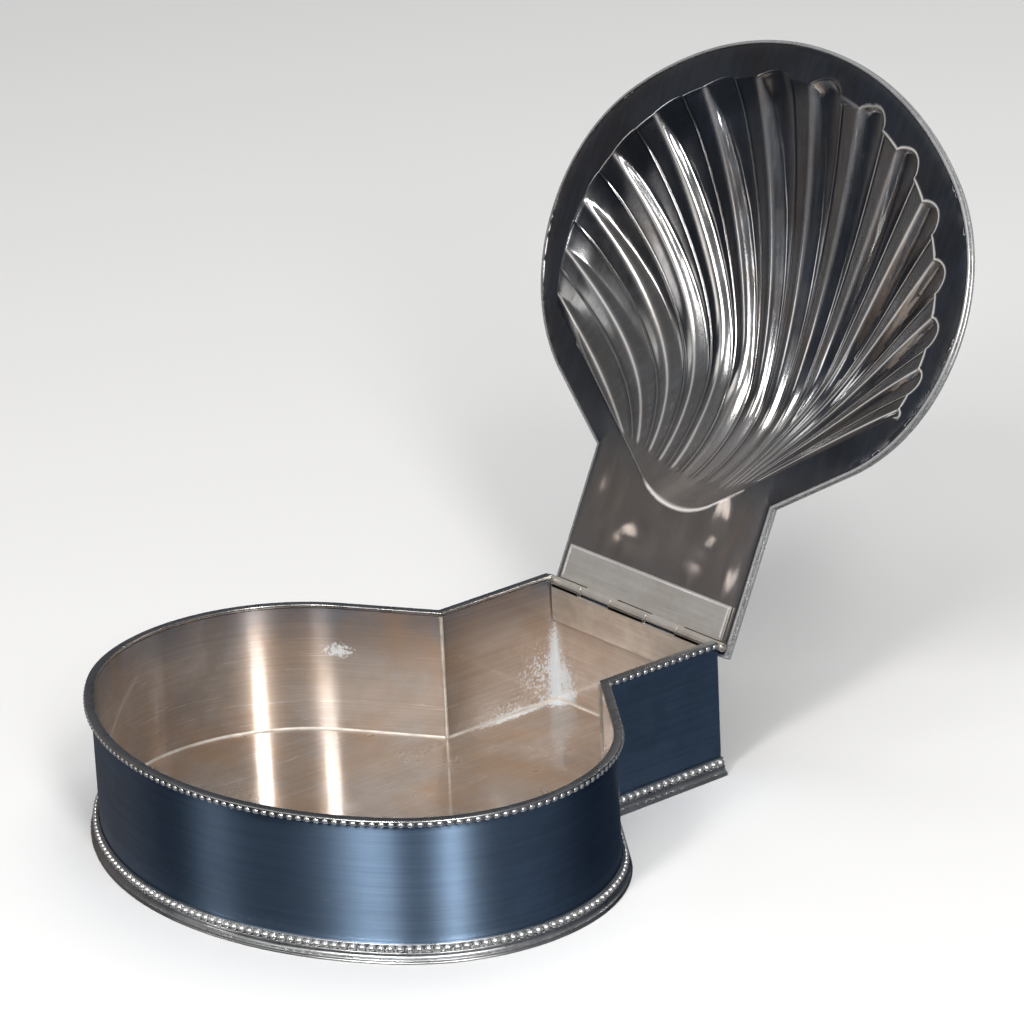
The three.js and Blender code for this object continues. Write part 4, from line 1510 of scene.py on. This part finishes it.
@dataclass
class Dress:
    """Every material of the box."""

    tilt: float
    origin: Vector
    effects: SharedEffects = field(default_factory=SharedEffects)

    def __post_init__(self) -> None:
        """Builds the materials."""
        # Dark blue-grey colours: partly tarnish, partly a painted reflection of a dark bluish room.
        outside = Silver(
            "wall_outside", bright=(0.30, 0.44, 0.64), dull=(0.215, 0.32, 0.48), stain=(0.22, 0.28, 0.35),
            dull_share=0.85, stain_share=0.35, cloud_size=0.05, gloss=0.34, haze=0.42,
            lines_depth=0.1, ripple_size=0.05, ripple_depth=0.25, smear=0.92, scratch_show=0.15,
        )
        inside = Silver(
            "wall_inside", bright=(0.385, 0.35, 0.325), dull=(0.22, 0.195, 0.178), stain=(0.36, 0.23, 0.14),
            dull_share=0.8, stain_share=0.7, cloud_size=0.034, gloss=0.26, haze=0.42,
            lines_depth=0.12, ripple_size=0.05, ripple_depth=0.3, scratch_show=0.3, metal=0.64, film=1.0,
            zones=(
                # Painted light: the back of the inside is painted lighter and warmer; the zone after it
                # makes the top darker and bluer.
                Zone("Y", 0.070, 0.086, (0.54, 0.465, 0.41), 0.55),
                Zone("Z", 0.026, 0.047, (0.17, 0.18, 0.21), 0.7),
            ),
            marks=(
                Mark((-0.0712, 0.0492, 0.031), (0.009, 0.010, 0.0045), 900.0, 0.34),
                Mark((-0.0408, 0.1175, 0.008), (0.0040, 0.0060, 0.036), 1100.0, 0.5),
                Mark((-0.0360, 0.1180, 0.006), (0.0100, 0.0050, 0.024), 1000.0, 0.34),
                Mark((-0.0408, 0.1120, 0.012), (0.012, 0.022, 0.024), 900.0, 0.2),
                Mark((-0.0408, 0.0980, 0.002), (0.006, 0.034, 0.0030), 900.0, 0.4),
                Mark((-0.0408, 0.0950, 0.004), (0.006, 0.030, 0.0100), 900.0, 0.18),
            ),
        )
        floor = Silver(
            "floor_worn", bright=(0.45, 0.40, 0.365), dull=(0.28, 0.235, 0.205), stain=(0.42, 0.26, 0.14),
            dull_share=0.8, stain_share=0.75, cloud_size=0.034, gloss=0.24, haze=0.40,
            lines_scale=(900.0, 20.0, 20.0), lines_depth=0.05, ripple_size=0.035, ripple_depth=0.2,
            metal=0.72, film=1.0, scratch_scale=(500.0, 12.0, 12.0),
            marks=(
                Mark((-0.0395, 0.1160, 0.002), (0.010, 0.010, 0.01), 1100.0, 0.42),
                Mark((-0.0400, 0.0980, 0.002), (0.005, 0.034, 0.01), 900.0, 0.34),
            ),
        )
        ledge = Silver(
            "rim_rubbed", bright=(0.74, 0.74, 0.74), dull=(0.44, 0.45, 0.47), stain=(0.34, 0.32, 0.30),
            dull_share=0.5, stain_share=0.3, cloud_size=0.01, gloss=0.2, haze=0.36,
            lines_depth=0.05,
        )
        foot = Silver(
            "foot_rubbed", bright=(0.70, 0.71, 0.72), dull=(0.36, 0.37, 0.39), stain=(0.24, 0.23, 0.22),
            dull_share=0.5, stain_share=0.4, cloud_size=0.01, gloss=0.22, haze=0.4,
            lines_depth=0.05,
        )
        beads = Silver(
            "beads_rubbed", bright=(0.86, 0.86, 0.85), dull=(0.62, 0.62, 0.62), stain=(0.40, 0.38, 0.36),
            dull_share=0.4, stain_share=0.3, cloud_size=0.008, gloss=0.22, haze=0.32,
            lines_depth=0.0, metal=0.88,
        )
        lid_inner = Silver(
            "lid_inside", bright=(0.56, 0.57, 0.59), dull=(0.34, 0.35, 0.37), stain=(0.30, 0.25, 0.21),
            dull_share=0.7, stain_share=0.55, cloud_size=0.022, gloss=0.13, haze=0.24,
            lines_scale=(700.0, 50.0, 50.0), lines_depth=0.05, ripple_size=0.009, ripple_depth=0.4,
            turn=self.tilt, scratch_show=0.3, scratch_scale=(600.0, 12.0, 12.0),
            zones=(Zone("Z", 0.105, 0.075, (0.385, 0.35, 0.335), 0.84),), edges=True,
        )
        lid_outer = Silver(
            "lid_outside", bright=(0.52, 0.52, 0.53), dull=(0.30, 0.31, 0.32), stain=(0.30, 0.28, 0.26),
            dull_share=0.75, stain_share=0.35, cloud_size=0.04, gloss=0.16, haze=0.3,
            turn=self.tilt, edges=True,
        )
        leaf = Silver(
            "leaf_worn", bright=(0.66, 0.62, 0.56), dull=(0.48, 0.44, 0.40), stain=(0.40, 0.34, 0.29),
            dull_share=0.5, stain_share=0.5, cloud_size=0.012, gloss=0.26, haze=0.42,
            lines_scale=(30.0, 900.0, 900.0), lines_depth=0.1, metal=0.7,
        )
        lid_leaf = Silver(
            "lid_leaf_worn", bright=(0.56, 0.54, 0.51), dull=(0.42, 0.40, 0.38), stain=(0.40, 0.35, 0.30),
            dull_share=0.55, stain_share=0.4, cloud_size=0.014, gloss=0.26, haze=0.4,
            lines_scale=(30.0, 900.0, 900.0), lines_depth=0.1, turn=self.tilt, metal=0.6,
        )
        lid_edge = Silver(
            "lid_edge_worn", bright=(0.62, 0.62, 0.63), dull=(0.36, 0.37, 0.38), stain=(0.28, 0.27, 0.26),
            dull_share=0.5, stain_share=0.4, cloud_size=0.02, gloss=0.2, haze=0.34,
            lines_depth=0.03, metal=0.72,
        )
        rubbed_edge = Silver(
            "edge_rubbed", bright=(0.78, 0.78, 0.78), dull=(0.55, 0.55, 0.56), stain=(0.40, 0.38, 0.36),
            dull_share=0.5, stain_share=0.3, cloud_size=0.02, gloss=0.22, haze=0.34,
            lines_depth=0.03, metal=0.5,
        )
        solder = Silver(
            "solder", bright=(0.66, 0.62, 0.57), dull=(0.50, 0.46, 0.41), stain=(0.36, 0.30, 0.25),
            dull_share=0.6, stain_share=0.5, cloud_size=0.006, gloss=0.3, haze=0.5,
            ripple_size=0.003, ripple_depth=0.3, metal=0.6,
        )
        given = (self.effects, self.origin)
        self.wall = outside.material(*given, inside)
        self.floor = floor.material(*given)
        self.rim = ledge.material(*given)
        self.foot = foot.material(*given)
        self.beads = beads.material(*given)
        self.lid = lid_outer.material(*given, lid_inner)
        self.rubbed_edge = rubbed_edge.material(*given)
        self.lid_edge = lid_edge.material(*given)
        self.leaf = leaf.material(*given)
        self.lid_leaf = lid_leaf.material(*given)
        self.solder = solder.material(*given)


# ---- Studio ----


@dataclass(frozen=True)
class Softbox:
    """A soft light: where it stands, seen from the box, and its size, in degrees and metres."""

    name: str
    azimuth: float
    elevation: float
    distance: float
    width: float
    height: float
    power: float
    colour: Colour = (1.0, 1.0, 1.0)
    mirrored: bool = True

    def build(self, aim: Vector) -> None:
        """Sets up the light.

        Args:
            aim: point that it faces.
        """
        light = bpy.data.lights.new(self.name, "AREA")
        light.shape = "RECTANGLE"
        light.size, light.size_y = self.width, self.height
        light.energy, light.color = self.power, self.colour
        lamp = bpy.data.objects.new(self.name, light)
        turn, rise = math.radians(self.azimuth), math.radians(self.elevation)
        away = Vector((math.sin(turn) * math.cos(rise), -math.cos(turn) * math.cos(rise), math.sin(rise)))
        lamp.location = aim + away * self.distance
        lamp.visible_glossy = self.mirrored
        lamp.rotation_euler = (aim - lamp.location).to_track_quat("-Z", "Y").to_euler()
        bpy.context.scene.collection.objects.link(lamp)


@dataclass
class Studio:
    """Floor, soft light and camera."""

    aim: Vector
    camera_place: tuple[float, float, float] = (1.23872, -0.97458, 0.69483)
    azimuth: float = 51.682
    elevation: float = 20.797
    roll: float = -2.745
    lens: float = 184.48

    def build(self) -> None:
        """Builds the studio."""
        self.floor()
        self.lights()
        self.camera()

    def floor(self) -> None:
        """Plain pale floor."""
        bm = bmesh.new()
        bmesh.ops.create_grid(bm, x_segments=1, y_segments=1, size=5.0)
        mesh = bpy.data.meshes.new("floor")
        bm.to_mesh(mesh)
        bm.free()
        floor = bpy.data.objects.new("floor", mesh)
        bpy.context.scene.collection.objects.link(floor)
        paint = bpy.data.materials.new("pale_floor")
        paint.use_nodes = True
        surface = paint.node_tree.nodes["Principled BSDF"]
        surface.inputs["Base Color"].default_value = (0.62, 0.62, 0.62, 1.0)
        surface.inputs["Roughness"].default_value = 0.9
        mesh.materials.append(paint)
        floor.visible_glossy = False

    def lights(self) -> None:
        """Two tall strips in front, a wide soft light above and a dim room."""
        for lamp in (
            Softbox("strip_right", 66, 34.2, 2.4, 0.36, 1.2, 39, (1.0, 0.98, 0.95)),
            Softbox("strip_left", 22, 35.4, 2.4, 0.36, 1.16, 37, (1.0, 0.98, 0.95)),
            Softbox("side_panel", -26, 8, 2.6, 0.5, 0.9, 3.2, (1.0, 0.96, 0.92)),
            Softbox("upper_panel", -25, 44, 2.4, 0.7, 0.7, 2.5, (1.0, 0.98, 0.92)),
            Softbox("overhead", 200, 66, 2.2, 1.6, 1.6, 25, mirrored=False),
            Softbox("overhead_front", 56, 60, 2.2, 1.6, 1.6, 19, mirrored=False),
        ):
            lamp.build(self.aim)
        world = bpy.data.worlds.new("room")
        world.use_nodes = True
        wires = Wiring(world.node_tree)
        split = wires.add("ShaderNodeSeparateXYZ")
        wires.join(wires.add("ShaderNodeTexCoord").outputs["Generated"], split.inputs[0])
        across, up = split.outputs["X"], split.outputs["Z"]
        shade = wires.blend(wires.ramp(up, -0.5, 0.05), (0.022, 0.028, 0.036), (0.030, 0.038, 0.052))
        for way, start, full, glow in (
            (up, -0.6, -0.9, (0.17, 0.17, 0.175)),
            (across, 0.3, 0.9, (0.11, 0.12, 0.14)),
            (across, -0.66, -1.0, (0.13, 0.115, 0.11)),
            (up, 0.35, 0.9, (0.24, 0.24, 0.24)),
        ):
            shade = wires.blend(wires.ramp(way, start, full), shade, glow)
        background = world.node_tree.nodes["Background"]
        wires.join(shade, background.inputs["Color"])
        background.inputs["Strength"].default_value = 1.0
        bpy.context.scene.world = world

    def camera(self) -> None:
        """Camera at the chosen view."""
        az, el, roll = (math.radians(a) for a in (self.azimuth, self.elevation, self.roll))
        forward = Vector((-math.sin(az) * math.cos(el), math.cos(az) * math.cos(el), -math.sin(el)))
        level = forward.cross(Vector((0, 0, 1))).normalized()
        upright = level.cross(forward)
        right = level * math.cos(roll) + upright * math.sin(roll)
        up = upright * math.cos(roll) - level * math.sin(roll)
        data = bpy.data.cameras.new("camera")
        data.lens, data.sensor_width = self.lens, 36.0
        data.clip_end = 50.0
        camera = bpy.data.objects.new("camera", data)
        camera.matrix_world = Matrix.Translation(self.camera_place) @ Matrix((
            (right.x, up.x, -forward.x, 0.0),
            (right.y, up.y, -forward.y, 0.0),
            (right.z, up.z, -forward.z, 0.0),
            (0.0, 0.0, 0.0, 1.0),
        ))
        bpy.context.scene.collection.objects.link(camera)
        bpy.context.scene.camera = camera
        bpy.context.scene.view_settings.view_transform = "Standard"


# ---- Assembly ----


def main() -> None:
    """Builds the studio and every piece of the box in order."""
    logging.basicConfig(level=logging.INFO, format="%(name)s %(message)s")
    hinge = frame["joints"][0]
    axis = Vector(hinge["pos_m"]) / MM
    opened = math.radians(hinge["range_deg"][1])
    at_axis = Matrix.Translation(axis)
    lid_place = at_axis @ Matrix.Rotation(-opened, 4, "X")
    plan = Plan()
    at_plan = Matrix.Translation((0.0, axis.y - plan.axis_y, 0.0))
    aim = Vector([(CAD_BOX[0][k] + CAD_BOX[1][k]) / 2 for k in range(3)])
    Studio(aim).build()
    dress = Dress(opened, at_plan.translation * MM)
    BoxBase(plan, Levels(), at_plan).build(dress)
    Hinge(at_axis, lid_place).build(dress)
    Lid(plan, lid_place).build(dress)


if __name__ == "__main__":
    main()
